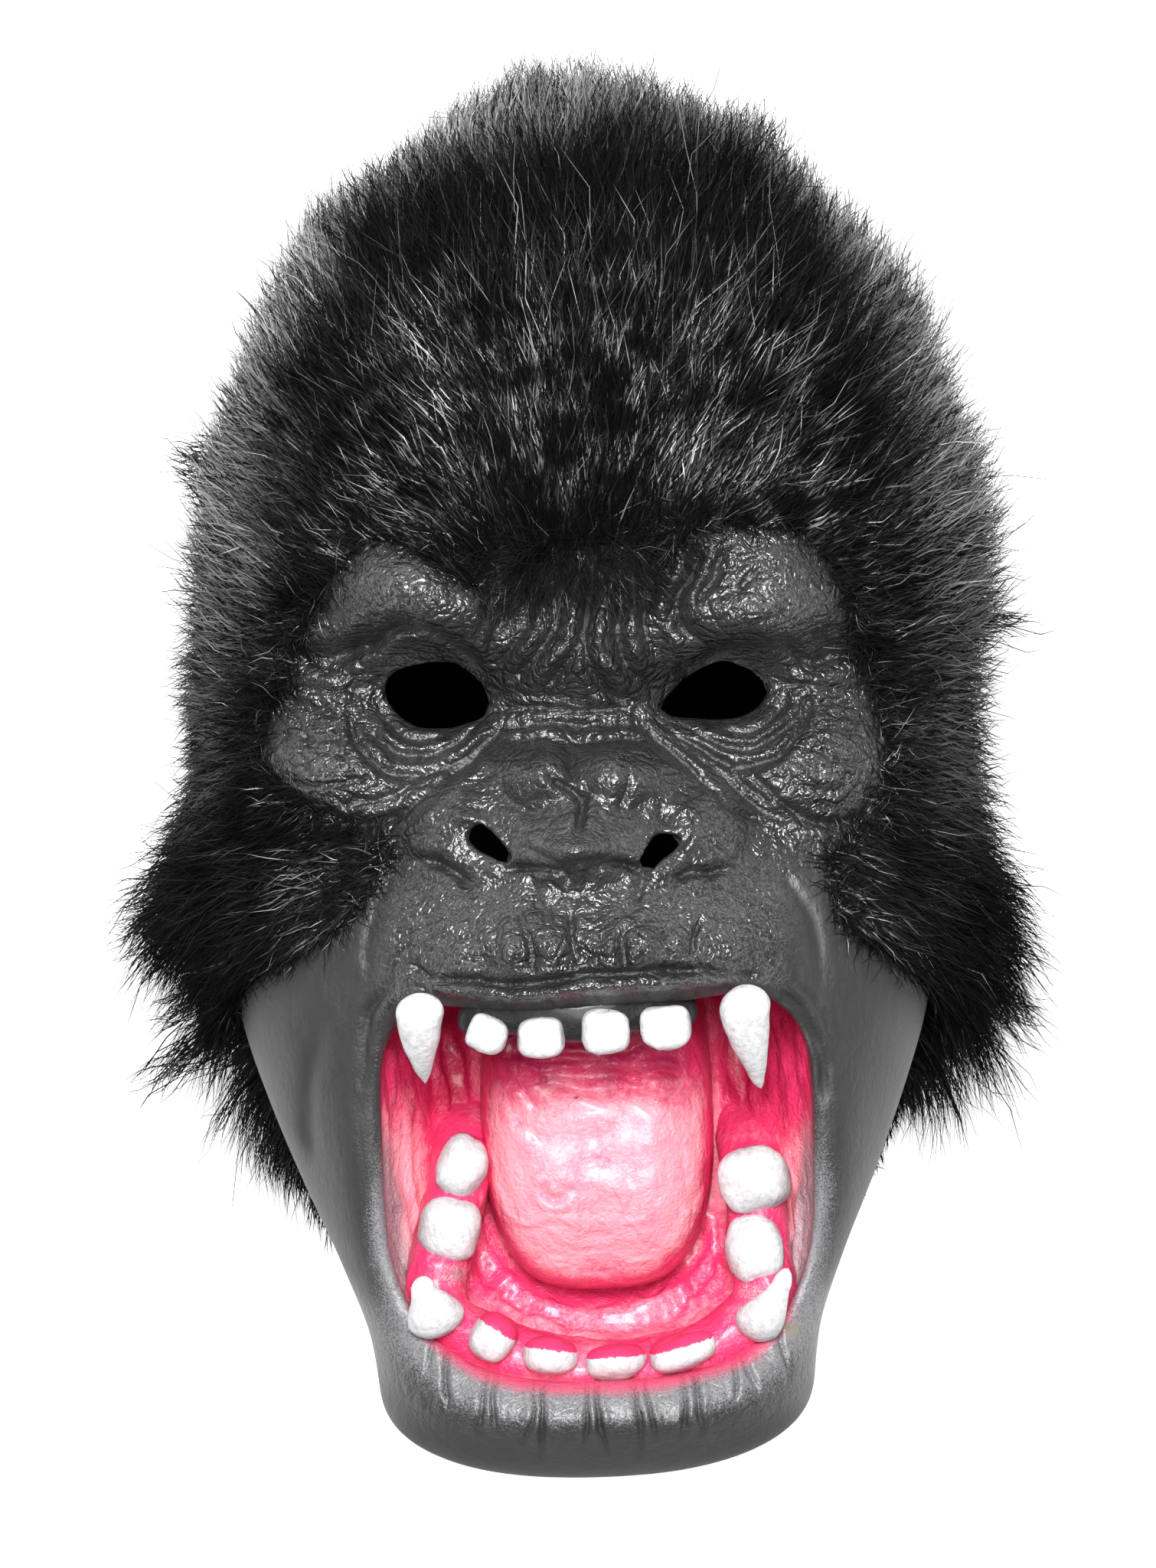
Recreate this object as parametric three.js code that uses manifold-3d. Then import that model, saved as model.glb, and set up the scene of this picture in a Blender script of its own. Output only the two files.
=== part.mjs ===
// Overhead costume mask of a roaring gorilla: a hollow latex face casting with a closed mouth pocket,
// and a faux-fur hood glued round its edge. It lies on its back with the face up.
// Millimetres. X is to the viewer's right, Y towards the crown, Z out of the face.
import * as THREE from "three";
import { mergeVertices } from "three/addons/utils/BufferGeometryUtils.js";
import Module from "manifold-3d";

const wasm = await Module();
wasm.setup();

// Driving dimensions
const CROWN = 172; // top of the head under the fur
const CHIN = -174; // lowest point of the jaw
const CHIN_ROUND = 24; // height over which the chin rounds off
const SKIN_HALF_WIDTH = 93; // at the temples
const FUR_CROWN = 186; // top of the fur
const FUR_HALF_WIDTH = 106; // fur to fur at the temples
const WALL = 2.8; // latex
const GLUE_GAP = 0.35; // between the latex and the backing of the fur
const LATEX_BACK = 80; // the casting ends here, behind the cheeks
const LATEX_TOP = 84; // and here, under the fur of the forehead
const HEM = -112; // lower edge of the hood at the nape
const FRINGE_BACK = 88; // below the cheeks the fur stays behind this height
const FORWARD = 260; // clear in front of everything
const BESIDE = 150; // clear beside everything
const OUTLINE_CENTRE = [0.6, 5.7]; // middle of the outline seen from the front

// A smooth curve through a few [y, value] stations, level beyond its ends.
function profile(...stations) {
  const points = stations.sort((a, b) => a[0] - b[0]);
  const last = points.length - 1;
  const slope = (i) => {
    if (i === 0 || i === last) return 0;
    const [before, after] = [points[i - 1], points[i + 1]];
    return (after[1] - before[1]) / (after[0] - before[0]);
  };
  return (y) => {
    if (y <= points[0][0]) return points[0][1];
    if (y >= points[last][0]) return points[last][1];
    const i = points.findIndex((p) => p[0] > y) - 1;
    const [[y0, v0], [y1, v1]] = [points[i], points[i + 1]];
    const h = y1 - y0;
    const t = (y - y0) / h;
    const ease = t * t * (3 - 2 * t);
    const bend = t * (1 - t) * h * ((1 - t) * slope(i) - t * slope(i + 1));
    return v0 + (v1 - v0) * ease + bend;
  };
}

// Share of its full width that the head still has towards the crown and the chin.
function dome(y) {
  if (y > 0) return Math.sqrt(Math.max(0, 1 - (y / CROWN) ** 2.3));
  const below = Math.max(0, CHIN + CHIN_ROUND - y) / CHIN_ROUND;
  return Math.max(0, 1 - below ** 2.4) ** 0.45;
}
function furDome(y) {
  return y > 0 ? Math.max(0, 1 - (y / FUR_CROWN) ** 2.6) ** 0.45 : 1;
}

// Head form under the fur: half width, height of the widest place, and depth in front of and behind it.
const skin = {
  half: profile(
    [0, SKIN_HALF_WIDTH], [-40, 90.5], [-60, 87], [-80, 80.5], [-100, 72.5],
    [-120, 63.5], [-140, 56.5], [CHIN, 54],
  ),
  middle: profile([CROWN, 95], [0, 100], [-60, 108], [-140, 122], [CHIN, 134]),
  front: profile(
    [CROWN, 66], [140, 76], [80, 80], [60, 80], [45, 74], [22, 60], [0, 64],
    [-40, 71], [-60, 67], [-80, 56], [-100, 49], [-140, 38], [CHIN, 34],
  ),
  back: profile([CROWN, 70], [100, 85], [0, 92], [-60, 100], [HEM, 106], [CHIN, 60]),
  shift: profile([CROWN, 3], [150, 5], [60, 4.5], [15, 0]),
  dome,
};

// Outer surface of the fur, with its full cheek ruffs and the hem that narrows behind the jaw.
const fur = {
  half: profile(
    [0, FUR_HALF_WIDTH], [-15, 112], [-34, 118], [-64, 117], [-75, 109],
    [-90, 97], [-105, 82], [HEM, 76],
  ),
  middle: profile([FUR_CROWN, 95], [0, 100], [-60, 98], [HEM, 92]),
  front: profile([FUR_CROWN, 84], [80, 94], [45, 91], [22, 80], [-34, 82], [-64, 76], [HEM, 60]),
  back: profile([FUR_CROWN, 84], [100, 96], [0, 104], [HEM, 100]),
  shift: profile(
    [FUR_CROWN, 2], [168, 7], [128, 7.5], [60, 6.5], [36, 6], [15, 1], [-20, -2],
    [-40, 0], [-70, 3], [HEM, 0],
  ),
  dome: furDome,
};

// Modelled relief of the face: soft mounds and hollows [x, y, half length, half height, turn, rise].
const RELIEF = [
  [-40, 49, 27, 15, -22, 11], // left brow
  [46, 49, 27, 15, 18, 11], // right brow
  [-35, 24, 24, 14, -6, -9], // left eye socket
  [35, 24, 24, 14, 6, -9], // right eye socket
  [-58, 35, 13, 7, 10, -4], // recess under the left brow's outer end
  [62, 33, 13, 7, -10, -4],
  [2, 34, 24, 20, 0, 8], // frown between the brows
  [-60, 5, 22, 17, 8, 7], // cheek pads
  [60, 3, 22, 17, -8, 7],
  [0, -6, 44, 25, 0, 12], // nose
  [-9, 5, 13, 14, 0, 7],
  [10, 5, 13, 14, 0, 7],
  [-1, -15, 17, 13, 0, 9], // tip of the nose
  [-33, -9, 13, 13, 0, 6], // wings of the nose
  [32, -11, 13, 13, 0, 6],
  [0, -38, 66, 35, 0, 19], // muzzle
  [-13, -38, 14, 10, 0, 4],
  [12, -39, 14, 10, 0, 4],
  [0, -49, 54, 8, 0, 4], // roll of the upper lip
];
const RELIEF_EDGE = 78; // the relief fades out from here to the side of the head
function relief(x, y) {
  let rise = 0;
  for (const [cx, cy, rx, ry, turn, height] of RELIEF) {
    const a = THREE.MathUtils.degToRad(turn);
    const u = ((x - cx) * Math.cos(a) + (y - cy) * Math.sin(a)) / rx;
    const v = ((y - cy) * Math.cos(a) - (x - cx) * Math.sin(a)) / ry;
    rise += height * Math.max(0, 1 - u * u - v * v) ** 2;
  }
  const beside = THREE.MathUtils.smoothstep(Math.abs(x), RELIEF_EDGE, RELIEF_EDGE + 12);
  return (rise + lowerLip(x, y)) * (1 - beside);
}

// Mouth opening: nearly square above, round below.
const MOUTH = { x: 2, y: -98, half: 53.5, up: 45, down: 50, squareness: 6, roundness: 2.8 };
const LIP = { outside: 8, width: 8, rise: 5, top: -62 }; // roll round the lower half of the mouth
function mouthSize(x, y) {
  const below = y < MOUTH.y;
  const n = below ? MOUTH.roundness : MOUTH.squareness;
  const u = Math.abs(x - MOUTH.x) / MOUTH.half;
  const v = Math.abs(y - MOUTH.y) / (below ? MOUTH.down : MOUTH.up);
  return (u ** n + v ** n) ** (1 / n);
}
function lowerLip(x, y) {
  const away = (mouthSize(x, y) - 1) * MOUTH.down;
  const shape = Math.exp(-(((away - LIP.outside) / LIP.width) ** 2));
  return LIP.rise * shape * THREE.MathUtils.smoothstep(-y, -LIP.top, -LIP.top + 30);
}

// A point of a form: along is -1 to 1 across the front, then on across the back from 1 to 3.
const FRONT_POWER = 2.4;
const BACK_POWER = 2.6;
function formPoint(form, y, along, sculpted) {
  const inFront = along <= 1;
  const s = inFront ? along : 2 - along;
  const power = inFront ? FRONT_POWER : BACK_POWER;
  const height = Math.max(0, 1 - Math.abs(s) ** power) ** (1 / power);
  const size = form.dome(y);
  const x = form.shift(y) + form.half(y) * size * s;
  const depth = inFront ? form.front(y) : -form.back(y);
  const z = form.middle(y) + depth * size * height;
  return new THREE.Vector3(x, y, z + (inFront ? sculpted * relief(x, y) : 0));
}

// Places round the ring, closer together where the form turns.
function ring(frontSteps, backSteps) {
  const turn = (u) => Math.sign(u) * (1.5 * Math.abs(u) - 0.5 * Math.abs(u) ** 3);
  const front = Array.from({ length: frontSteps }, (_, i) => turn((2 * i) / frontSteps - 1));
  const back = Array.from({ length: backSteps }, (_, i) => 2 - turn(1 - (2 * i) / backSteps));
  return [...front, ...back];
}

// Heights of the rings: given [from, to, step] stretches, ends included.
function heights(...stretches) {
  return stretches.flatMap(([from, to, step]) => {
    const count = Math.round((from - to) / step);
    return Array.from({ length: count }, (_, i) => from - ((from - to) * i) / count);
  });
}

// One closed skin through rings of points, with a single point at each end, moved out along its normals.
function closedSkin(rings, top, bottom, offset) {
  const size = rings[0].length;
  const points = [...rings.flat(), top, bottom];
  const [topAt, bottomAt] = [points.length - 2, points.length - 1];
  const index = [];
  for (let i = 0; i < size; i++) {
    const next = (i + 1) % size;
    index.push(topAt, i, next);
    for (let r = 0; r + 1 < rings.length; r++) {
      const [a, b] = [r * size + i, r * size + next];
      index.push(a, a + size, b, b, a + size, b + size);
    }
    const end = (rings.length - 1) * size;
    index.push(bottomAt, end + next, end + i);
  }
  const geometry = new THREE.BufferGeometry().setFromPoints(points);
  geometry.setIndex(index);
  geometry.computeVertexNormals();
  const { position, normal } = geometry.attributes;
  for (let i = 0; i < position.count; i++) {
    const moved = new THREE.Vector3().fromBufferAttribute(position, i);
    moved.addScaledVector(new THREE.Vector3().fromBufferAttribute(normal, i), offset);
    position.setXYZ(i, moved.x, moved.y, moved.z);
  }
  return geometry;
}

function solid(geometry) {
  const bare = geometry.clone();
  bare.deleteAttribute("normal");
  bare.deleteAttribute("uv");
  const merged = mergeVertices(bare, 1e-3);
  const mesh = new wasm.Mesh({
    numProp: 3,
    vertProperties: new Float32Array(merged.attributes.position.array),
    triVerts: new Uint32Array(merged.index.array),
  });
  return new wasm.Manifold(mesh);
}

function geometryOf(manifold) {
  const mesh = manifold.getMesh();
  const geometry = new THREE.BufferGeometry();
  const attribute = new THREE.BufferAttribute(new Float32Array(mesh.vertProperties), 3);
  geometry.setAttribute("position", attribute);
  geometry.setIndex(new THREE.BufferAttribute(new Uint32Array(mesh.triVerts), 1));
  geometry.computeVertexNormals();
  return geometry;
}

// Everything between two corners.
function block([x0, y0, z0], [x1, y1, z1]) {
  const box = new THREE.BoxGeometry(x1 - x0, y1 - y0, z1 - z0);
  return solid(box.translate((x0 + x1) / 2, (y0 + y1) / 2, (z0 + z1) / 2));
}

// A prism along Z from a closed outline.
function prism(outline, bottom, top) {
  const shape = new THREE.Shape(outline.map(([x, y]) => new THREE.Vector2(x, y)));
  const options = { depth: top - bottom, bevelEnabled: false };
  return new THREE.ExtrudeGeometry(shape, options).translate(0, 0, bottom);
}

// A rounded lump: a ball whose sections are squarer than a circle.
const LUMP_POWER = 2 / 3;
function lump([x, y, z], [rx, ry, rz], turn = 0, around = 8, up = 5) {
  const ball = new THREE.SphereGeometry(1, around, up);
  const position = ball.attributes.position;
  const squarer = (v) => Math.sign(v) * Math.abs(v) ** LUMP_POWER;
  for (let i = 0; i < position.count; i++) {
    const p = [position.getX(i), position.getY(i), position.getZ(i)].map(squarer);
    position.setXYZ(i, p[0] * rx, p[1] * ry, p[2] * rz);
  }
  ball.rotateZ(THREE.MathUtils.degToRad(turn));
  return solid(ball.translate(x, y, z));
}

// Head form, its inside, and the same form kept clear for the backing of the fur.
const SKIN_ROWS = heights(
  [CROWN - 3, 66, 18], [66, -62, 6.1], [-62, CHIN + CHIN_ROUND, 13], [CHIN + CHIN_ROUND, CHIN + 0.4, 6],
);
const SKIN_RING = ring(32, 6);
const INSIDE_ROWS = heights(
  [CROWN - 5, 66, 25], [66, -62, 10], [-62, CHIN + CHIN_ROUND, 15], [CHIN + CHIN_ROUND, CHIN + 0.8, 8],
);
const INSIDE_RING = ring(20, 6);
const INSIDE_RELIEF = 0.94; // the inside follows the relief a little more softly
function headForm(rows, places, offset, sculpted) {
  const rings = rows.map((y) => places.map((s) => formPoint(skin, y, s, sculpted)));
  const top = new THREE.Vector3(skin.shift(CROWN), CROWN, skin.middle(CROWN));
  const bottom = new THREE.Vector3(0, CHIN, skin.middle(CHIN));
  return solid(closedSkin(rings, top, bottom, offset));
}

// Mouth pocket: its section at each height, wide behind the lips and closing to the floor.
const POCKET = [
  { z: FORWARD, half: 53.5, up: 45, down: 50 },
  { z: 188, half: 53.5, up: 45, down: 50 },
  { z: 172, half: 53.5, up: 49, down: 50 },
  { z: 158, half: 53.5, up: 53, down: 50 },
  { z: 146, half: 48, up: 54, down: 43 },
  { z: 130, half: 40, up: 52, down: 34 },
  { z: 117, half: 31, up: 42, down: 25 },
];
const POCKET_SIDES = 24;
function pocketForm(wall) {
  const sections = POCKET.map(({ z, half, up, down }) =>
    Array.from({ length: POCKET_SIDES }, (_, i) => {
      const a = (2 * Math.PI * i) / POCKET_SIDES;
      const below = Math.sin(a) < 0;
      const power = 2 / (below ? MOUTH.roundness : MOUTH.squareness);
      const across = Math.sign(Math.cos(a)) * Math.abs(Math.cos(a)) ** power;
      const along = Math.sign(Math.sin(a)) * Math.abs(Math.sin(a)) ** power;
      const x = MOUTH.x + (half + wall) * across;
      const y = MOUTH.y + ((below ? down : up) + wall) * along;
      return new THREE.Vector3(x, y, z === FORWARD ? z : z - wall);
    }),
  );
  const top = new THREE.Vector3(MOUTH.x, MOUTH.y, FORWARD);
  const floor = new THREE.Vector3(MOUTH.x, MOUTH.y, POCKET.at(-1).z - wall);
  return solid(closedSkin(sections, top, floor, 0));
}

const TONGUE = { at: [1.5, -92, 118], size: [28, 36, 30], hollowAt: 108 };
function tongue(inset) {
  const [x, y, z] = TONGUE.at;
  const size = TONGUE.size.map((r) => r - inset);
  return lump([x, y, inset ? TONGUE.hollowAt : z], size, 0, 14, 8);
}

// Teeth: centre, half sizes and turn, as they stand in the mouth.
const INCISORS_ABOVE = [-23.8, -11, 4.9, 19.4];
const TEETH = [
  ...INCISORS_ABOVE.map((x) => [[x, -57, 183], [5.8, 8, 4.6], 0]),
  [[-24.7, -133, 150], [5.6, 6, 8], -32], // lower incisors
  [[-11.4, -139.6, 151], [7, 4.6, 8], -12],
  [[5.2, -141.7, 151], [7, 4.6, 8], 0],
  [[21, -140.7, 151], [7.5, 4.8, 8], 12],
  [[-38.4, -126.8, 150], [6.7, 7.4, 11], -30], // lower canines
  [[41, -128.8, 150], [7.4, 8.2, 11], 30],
  [[-32.5, -92, 134], [6.2, 7.2, 10], -20], // molars
  [[-35, -107, 136], [7.6, 8.2, 10], 0],
  [[39.9, -97.5, 137], [8.4, 8.2, 10], 15],
  [[39.5, -114.7, 138], [7.2, 8.4, 10], 0],
];
const CANINES_ABOVE = [
  { base: [-39.6, -47, 171], tip: [-39.6, -72, 165] },
  { base: [39, -48, 171], tip: [42, -75.5, 165] },
];
const CANINE_RADII = [1.2, 6.4];
function canine({ base, tip }) {
  const from = new THREE.Vector3(...base);
  const axis = new THREE.Vector3(...tip).sub(from);
  const cone = new THREE.CylinderGeometry(...CANINE_RADII, axis.length(), 8, 1);
  cone.translate(0, axis.length() / 2, 0);
  const turn = new THREE.Quaternion();
  turn.setFromUnitVectors(new THREE.Vector3(0, 1, 0), axis.clone().normalize());
  return solid(cone.applyQuaternion(turn).translate(...base));
}

// Openings cut through the face.
const EYES = [
  [[-47.8, 25], [-42, 29], [-33, 31], [-25.5, 27.5], [-21.8, 21], [-25, 17.5], [-34, 15.2], [-42.5, 18.5]],
  [[21, 19.5], [26, 25.5], [37.8, 29.6], [45, 28], [48.3, 23.5], [43, 17.5], [34, 15], [26, 16]],
];
const NOSTRILS = [
  [[-27.3, -11.6], [-24.1, -9.1], [-17.1, -17.6], [-19.7, -18.7]],
  [[18.6, -12.7], [24.4, -14.5], [15.5, -21.5], [14.2, -19]],
];
const HOLE_BACK = 120;
function holes(outlines) {
  return outlines.map((outline) => solid(prism(outline, HOLE_BACK, FORWARD)));
}

// Edge of the fur round the face, seen from the front: it leaves the cheeks above the jaw.
const FUR_EDGE = [
  [2, 50], [-10, 47.5], [-19, 45.5], [-29, 52], [-42, 61], [-51, 60], [-59, 51], [-67, 36], [-73, 24],
  [-78, 9], [-57, -9], [-47, -12], [-49, -21], [-58, -33], [-82, -46], [-88, -58], [-100, -76],
  [-BESIDE, -80], [-BESIDE, -2 * BESIDE], [BESIDE, -2 * BESIDE], [BESIDE, -96], [98, -92],
  [88, -64], [86, -52], [73, -44], [63, -36],
  [61, -20], [72, -10], [76, 5], [75, 17], [69, 30], [66, 47], [56, 60], [38, 61], [28, 58], [18, 48],
];

// The sloping cut that opens the jaw towards the neck, as [y, z].
const NECK = [
  [HEM, LATEX_BACK], [CHIN + 8, 122], [2 * CHIN, 122], [2 * CHIN, -BESIDE], [HEM, -BESIDE],
];
function neckCut() {
  const alongX = new THREE.Matrix4().makeBasis(
    new THREE.Vector3(0, 1, 0), new THREE.Vector3(0, 0, 1), new THREE.Vector3(1, 0, 0),
  );
  return solid(prism(NECK, -BESIDE, BESIDE).applyMatrix4(alongX));
}

function latexCasting() {
  const outer = headForm(SKIN_ROWS, SKIN_RING, 0, 1);
  const inner = headForm(INSIDE_ROWS, INSIDE_RING, -WALL, INSIDE_RELIEF);
  const pocket = pocketForm(WALL).intersect(outer);
  const behind = block([-BESIDE, -2 * BESIDE, -BESIDE], [BESIDE, 2 * BESIDE, LATEX_BACK]);
  const above = block([-BESIDE, LATEX_TOP, -BESIDE], [BESIDE, 2 * BESIDE, FORWARD]);
  let casting = outer.subtract(inner).add(pocket).subtract(pocketForm(0));
  let inMouth = tongue(0);
  for (const [at, size, turn] of TEETH) inMouth = inMouth.add(lump(at, size, turn));
  for (const tooth of CANINES_ABOVE) inMouth = inMouth.add(canine(tooth));
  casting = casting.add(inMouth.intersect(pocketForm(WALL))).subtract(tongue(WALL));
  for (const hole of holes([...EYES, ...NOSTRILS])) casting = casting.subtract(hole);
  return casting.subtract(behind).subtract(above).subtract(neckCut());
}

const FUR_ROWS = heights([FUR_CROWN - 3, 60, 14], [60, -70, 13], [-70, HEM - 8, 8]);
const FUR_RING = ring(20, 10);
function furHood() {
  const rings = FUR_ROWS.map((y) => FUR_RING.map((s) => formPoint(fur, y, s, 0)));
  const top = new THREE.Vector3(fur.shift(FUR_CROWN), FUR_CROWN, fur.middle(FUR_CROWN));
  const bottom = new THREE.Vector3(0, HEM - 8, fur.middle(HEM));
  const outer = solid(closedSkin(rings, top, bottom, 0));
  const face = solid(prism(FUR_EDGE, FRINGE_BACK, FORWARD));
  const below = block([-BESIDE, -2 * BESIDE, -BESIDE], [BESIDE, HEM, FORWARD]);
  const ground = block([-BESIDE, -2 * BESIDE, -BESIDE], [BESIDE, 2 * BESIDE, 0]);
  return outer
    .subtract(headForm(SKIN_ROWS, SKIN_RING, GLUE_GAP, 1))
    .subtract(face)
    .subtract(below)
    .subtract(ground);
}

function piece(name, manifold, look) {
  const material = new THREE.MeshStandardMaterial({ metalness: 0, ...look });
  const mesh = new THREE.Mesh(geometryOf(manifold), material);
  mesh.name = name;
  mesh.position.set(-OUTLINE_CENTRE[0], -OUTLINE_CENTRE[1], 0);
  return mesh;
}

const group = new THREE.Group();
group.add(piece("latex_mask", latexCasting(), { color: 0x3c3c3e, roughness: 0.45 }));
group.add(piece("fur_hood", furHood(), { color: 0x141416, roughness: 0.9 }));

export default group;
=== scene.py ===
"""Looks of the gorilla costume mask: a sculpted latex face over an open mouth, and a long-pile fur hood.

The drawing is in millimetres, X to the viewer's right, Y towards the crown, Z out of the face, with its
origin on the axis of the photograph. to_frame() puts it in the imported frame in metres.
"""
import math

import bpy
import numpy as np
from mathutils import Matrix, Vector


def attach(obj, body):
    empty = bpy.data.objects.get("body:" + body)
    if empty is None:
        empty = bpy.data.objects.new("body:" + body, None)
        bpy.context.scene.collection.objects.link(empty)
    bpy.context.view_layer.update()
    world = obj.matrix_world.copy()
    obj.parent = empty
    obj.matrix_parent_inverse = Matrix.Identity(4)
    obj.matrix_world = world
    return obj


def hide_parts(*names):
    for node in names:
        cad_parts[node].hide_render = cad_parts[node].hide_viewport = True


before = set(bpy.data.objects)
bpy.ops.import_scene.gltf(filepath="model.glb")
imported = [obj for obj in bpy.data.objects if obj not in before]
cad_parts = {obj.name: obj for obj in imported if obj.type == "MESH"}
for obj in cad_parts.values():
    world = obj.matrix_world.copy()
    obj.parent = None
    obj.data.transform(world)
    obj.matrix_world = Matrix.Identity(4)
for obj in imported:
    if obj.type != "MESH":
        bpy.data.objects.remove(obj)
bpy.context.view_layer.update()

OUTLINE_CENTRE = (0.6, 5.7)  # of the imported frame, in the drawing
CROWN, CHIN, CHIN_ROUND = 172.0, -174.0, 24.0  # ends of the head form, and where the chin starts to round
HEM, LATEX_TOP, LATEX_BACK, FRINGE_BACK = -112.0, 84.0, 80.0, 88.0
WALL = 2.8  # of the casting
FAR = 9.0  # stands for any distance at which an opening no longer matters
SIDE_FADE = (78, 90)  # where the sculpt dies out towards the sides
UPWARDS = np.array([0, 0, 1.0])


def to_frame(points):
    """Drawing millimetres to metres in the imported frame."""
    return (np.asarray(points, float) - (*OUTLINE_CENTRE, 0.0)) / 1000.0


# Curves and fields


def profile(*stations):
    """A smooth curve through a few (y, value) stations, level beyond its ends."""
    ys, vs = np.array(sorted(stations), float).T
    slope = np.zeros(len(ys))
    slope[1:-1] = (vs[2:] - vs[:-2]) / (ys[2:] - ys[:-2])

    def at(y):
        y = np.clip(y, ys[0], ys[-1])
        i = np.clip(np.searchsorted(ys, y, side="right") - 1, 0, len(ys) - 2)
        h = ys[i + 1] - ys[i]
        t = (y - ys[i]) / h
        bend = t * (1 - t) * h * ((1 - t) * slope[i] - t * slope[i + 1])
        return vs[i] + (vs[i + 1] - vs[i]) * t * t * (3 - 2 * t) + bend

    return at


def step(x, low, high):
    """0 below low, 1 above high, smooth between them."""
    t = np.clip((x - low) / (high - low), 0, 1)
    return t * t * (3 - 2 * t)


def lattice(i, seed):
    """A number from 0 to 1 for each whole-number place."""
    h = (i[..., 0] * 73856093) ^ (i[..., 1] * 19349663) ^ (i[..., 2] * 83492791) ^ (seed * 2654435761 % 2**31)
    h = (h ^ (h >> 13)) * 1274126177 % 2**31
    h = (h ^ (h >> 15)) * 668265263 % 2**31
    return (h ^ (h >> 12)) % 65536 / 65535.0


def noise(points, size, seed=0):
    """A smooth random field from -1 to 1 with lumps about size across."""
    q = np.asarray(points, float) / size
    i = np.floor(q).astype(np.int64)
    f = q - i
    f = f * f * (3 - 2 * f)
    total = 0
    for corner in range(8):
        c = np.array([corner & 1, corner >> 1 & 1, corner >> 2 & 1])
        weight = np.prod(np.where(c, f, 1 - f), axis=-1)
        total = total + weight * lattice(i + c, seed)
    return 2 * total - 1


def smooth_line(points, parts=4):
    """More points along a smooth curve through the given ones."""
    p = np.array(points, float)
    if len(p) < 3:
        return p
    p = np.vstack([2 * p[0] - p[1], p, 2 * p[-1] - p[-2]])
    out = []
    for a, b, c, d in zip(p, p[1:], p[2:], p[3:]):
        square, cube = 2 * a - 5 * b + 4 * c - d, 3 * b - a - 3 * c + d
        out += [0.5 * (2 * b + (c - a) * t + square * t**2 + cube * t**3) for t in np.arange(parts) / parts]
    return np.vstack([out, p[-2]])


def closed_line(outline):
    """A smooth closed line through the corners of a small outline."""
    return smooth_line([*outline, outline[0]], 3)[:-1]


def along_line(x, y, line):
    """Distance from each place to a line, and how far along the line its nearest spot is, 0 to 1."""
    seg = np.diff(line, axis=0)
    length = np.linalg.norm(seg, axis=1)
    start = np.concatenate([[0], np.cumsum(length)])
    best = np.full(x.shape, 1e9)
    where = np.zeros(x.shape)
    for (ax, ay), (dx, dy), size, from_start in zip(line, seg, length, start):
        if size == 0:
            continue
        t = np.clip(((x - ax) * dx + (y - ay) * dy) / size**2, 0, 1)
        away = np.hypot(x - ax - t * dx, y - ay - t * dy)
        nearer = away < best
        best = np.where(nearer, away, best)
        where = np.where(nearer, (from_start + t * size) / start[-1], where)
    return best, where


def outside(x, y, outline):
    """Signed distance from a closed outline, positive outside it."""
    ring = np.vstack([outline, outline[:1]])
    away, _ = along_line(x, y, ring)
    inside = np.zeros(x.shape, bool)
    for (x0, y0), (x1, y1) in zip(ring, ring[1:]):
        if y0 == y1:
            continue
        crosses = (y0 > y) != (y1 > y)
        inside ^= crosses & (x < (x1 - x0) * (y - y0) / (y1 - y0) + x0)
    return np.where(inside, -away, away)


def within(x, y, line, margin):
    """True in the box round a line."""
    low, high = line.min(0) - margin, line.max(0) + margin
    return (x > low[0]) & (x < high[0]) & (y > low[1]) & (y < high[1])


def near_outside(x, y, ring, margin=6.0):
    """Signed distance from a small outline in the box round it, and FAR elsewhere."""
    near = within(x, y, ring, margin)
    away = np.full(x.shape, FAR)
    away[near] = outside(x[near], y[near], ring)
    return away


def stroke(x, y, line, width):
    """A crease's own section and the soft banks beside it, near the line only."""
    line = smooth_line(line)
    near = within(x, y, line, 4 * width)
    away, where = along_line(x[near], y[near], line)
    ends = 0.35 + 0.65 * step(where, 0, 0.18) * step(1 - where, 0, 0.18)
    cut = (0.62 * np.exp(-((away / width) ** 2)) + 0.5 * np.exp(-((away / (0.5 * width)) ** 2))) * ends
    banks = np.exp(-(((away - 1.9 * width) / (1.1 * width)) ** 2)) * ends
    return cut, banks, near


def ridges(points, size, seed, sharpness):
    """Thin ridges where a random field crosses zero, 1 along their tops."""
    return (1 - np.abs(noise(points, size, seed)) * sharpness).clip(0)


def hump(x, middle, width):
    """1 in the middle, falling softly to 0 on both sides."""
    return np.exp(-(((x - middle) / width) ** 2))


def spot(x, y, middle_x, middle_y, width, height):
    """1 in the middle of an oval, falling softly to 0 all round."""
    return np.exp(-(((x - middle_x) / width) ** 2) - ((y - middle_y) / height) ** 2)


def flat(x, y):
    """Places of the drawing with no depth, for noise that runs through the whole thickness."""
    return np.stack([x, y, 0 * x], axis=-1)


def unit(v, least=0.0):
    """The same ways, one long."""
    return v / np.maximum(np.linalg.norm(v, axis=-1, keepdims=True), least)


def squared(v, power):
    """A cosine or sine with fuller corners below power 1."""
    return np.sign(v) * np.abs(v) ** power


# Head form, as in the solids


def dome(y):
    """Share of the full section that is left at each height, 0 at the crown and the chin."""
    upper = np.sqrt(np.maximum(0, 1 - (np.maximum(y, 0) / CROWN) ** 2.3))
    below = np.maximum(0, CHIN + CHIN_ROUND - y) / CHIN_ROUND
    return np.where(y > 0, upper, np.maximum(0, 1 - below**2.4) ** 0.45)


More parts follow.
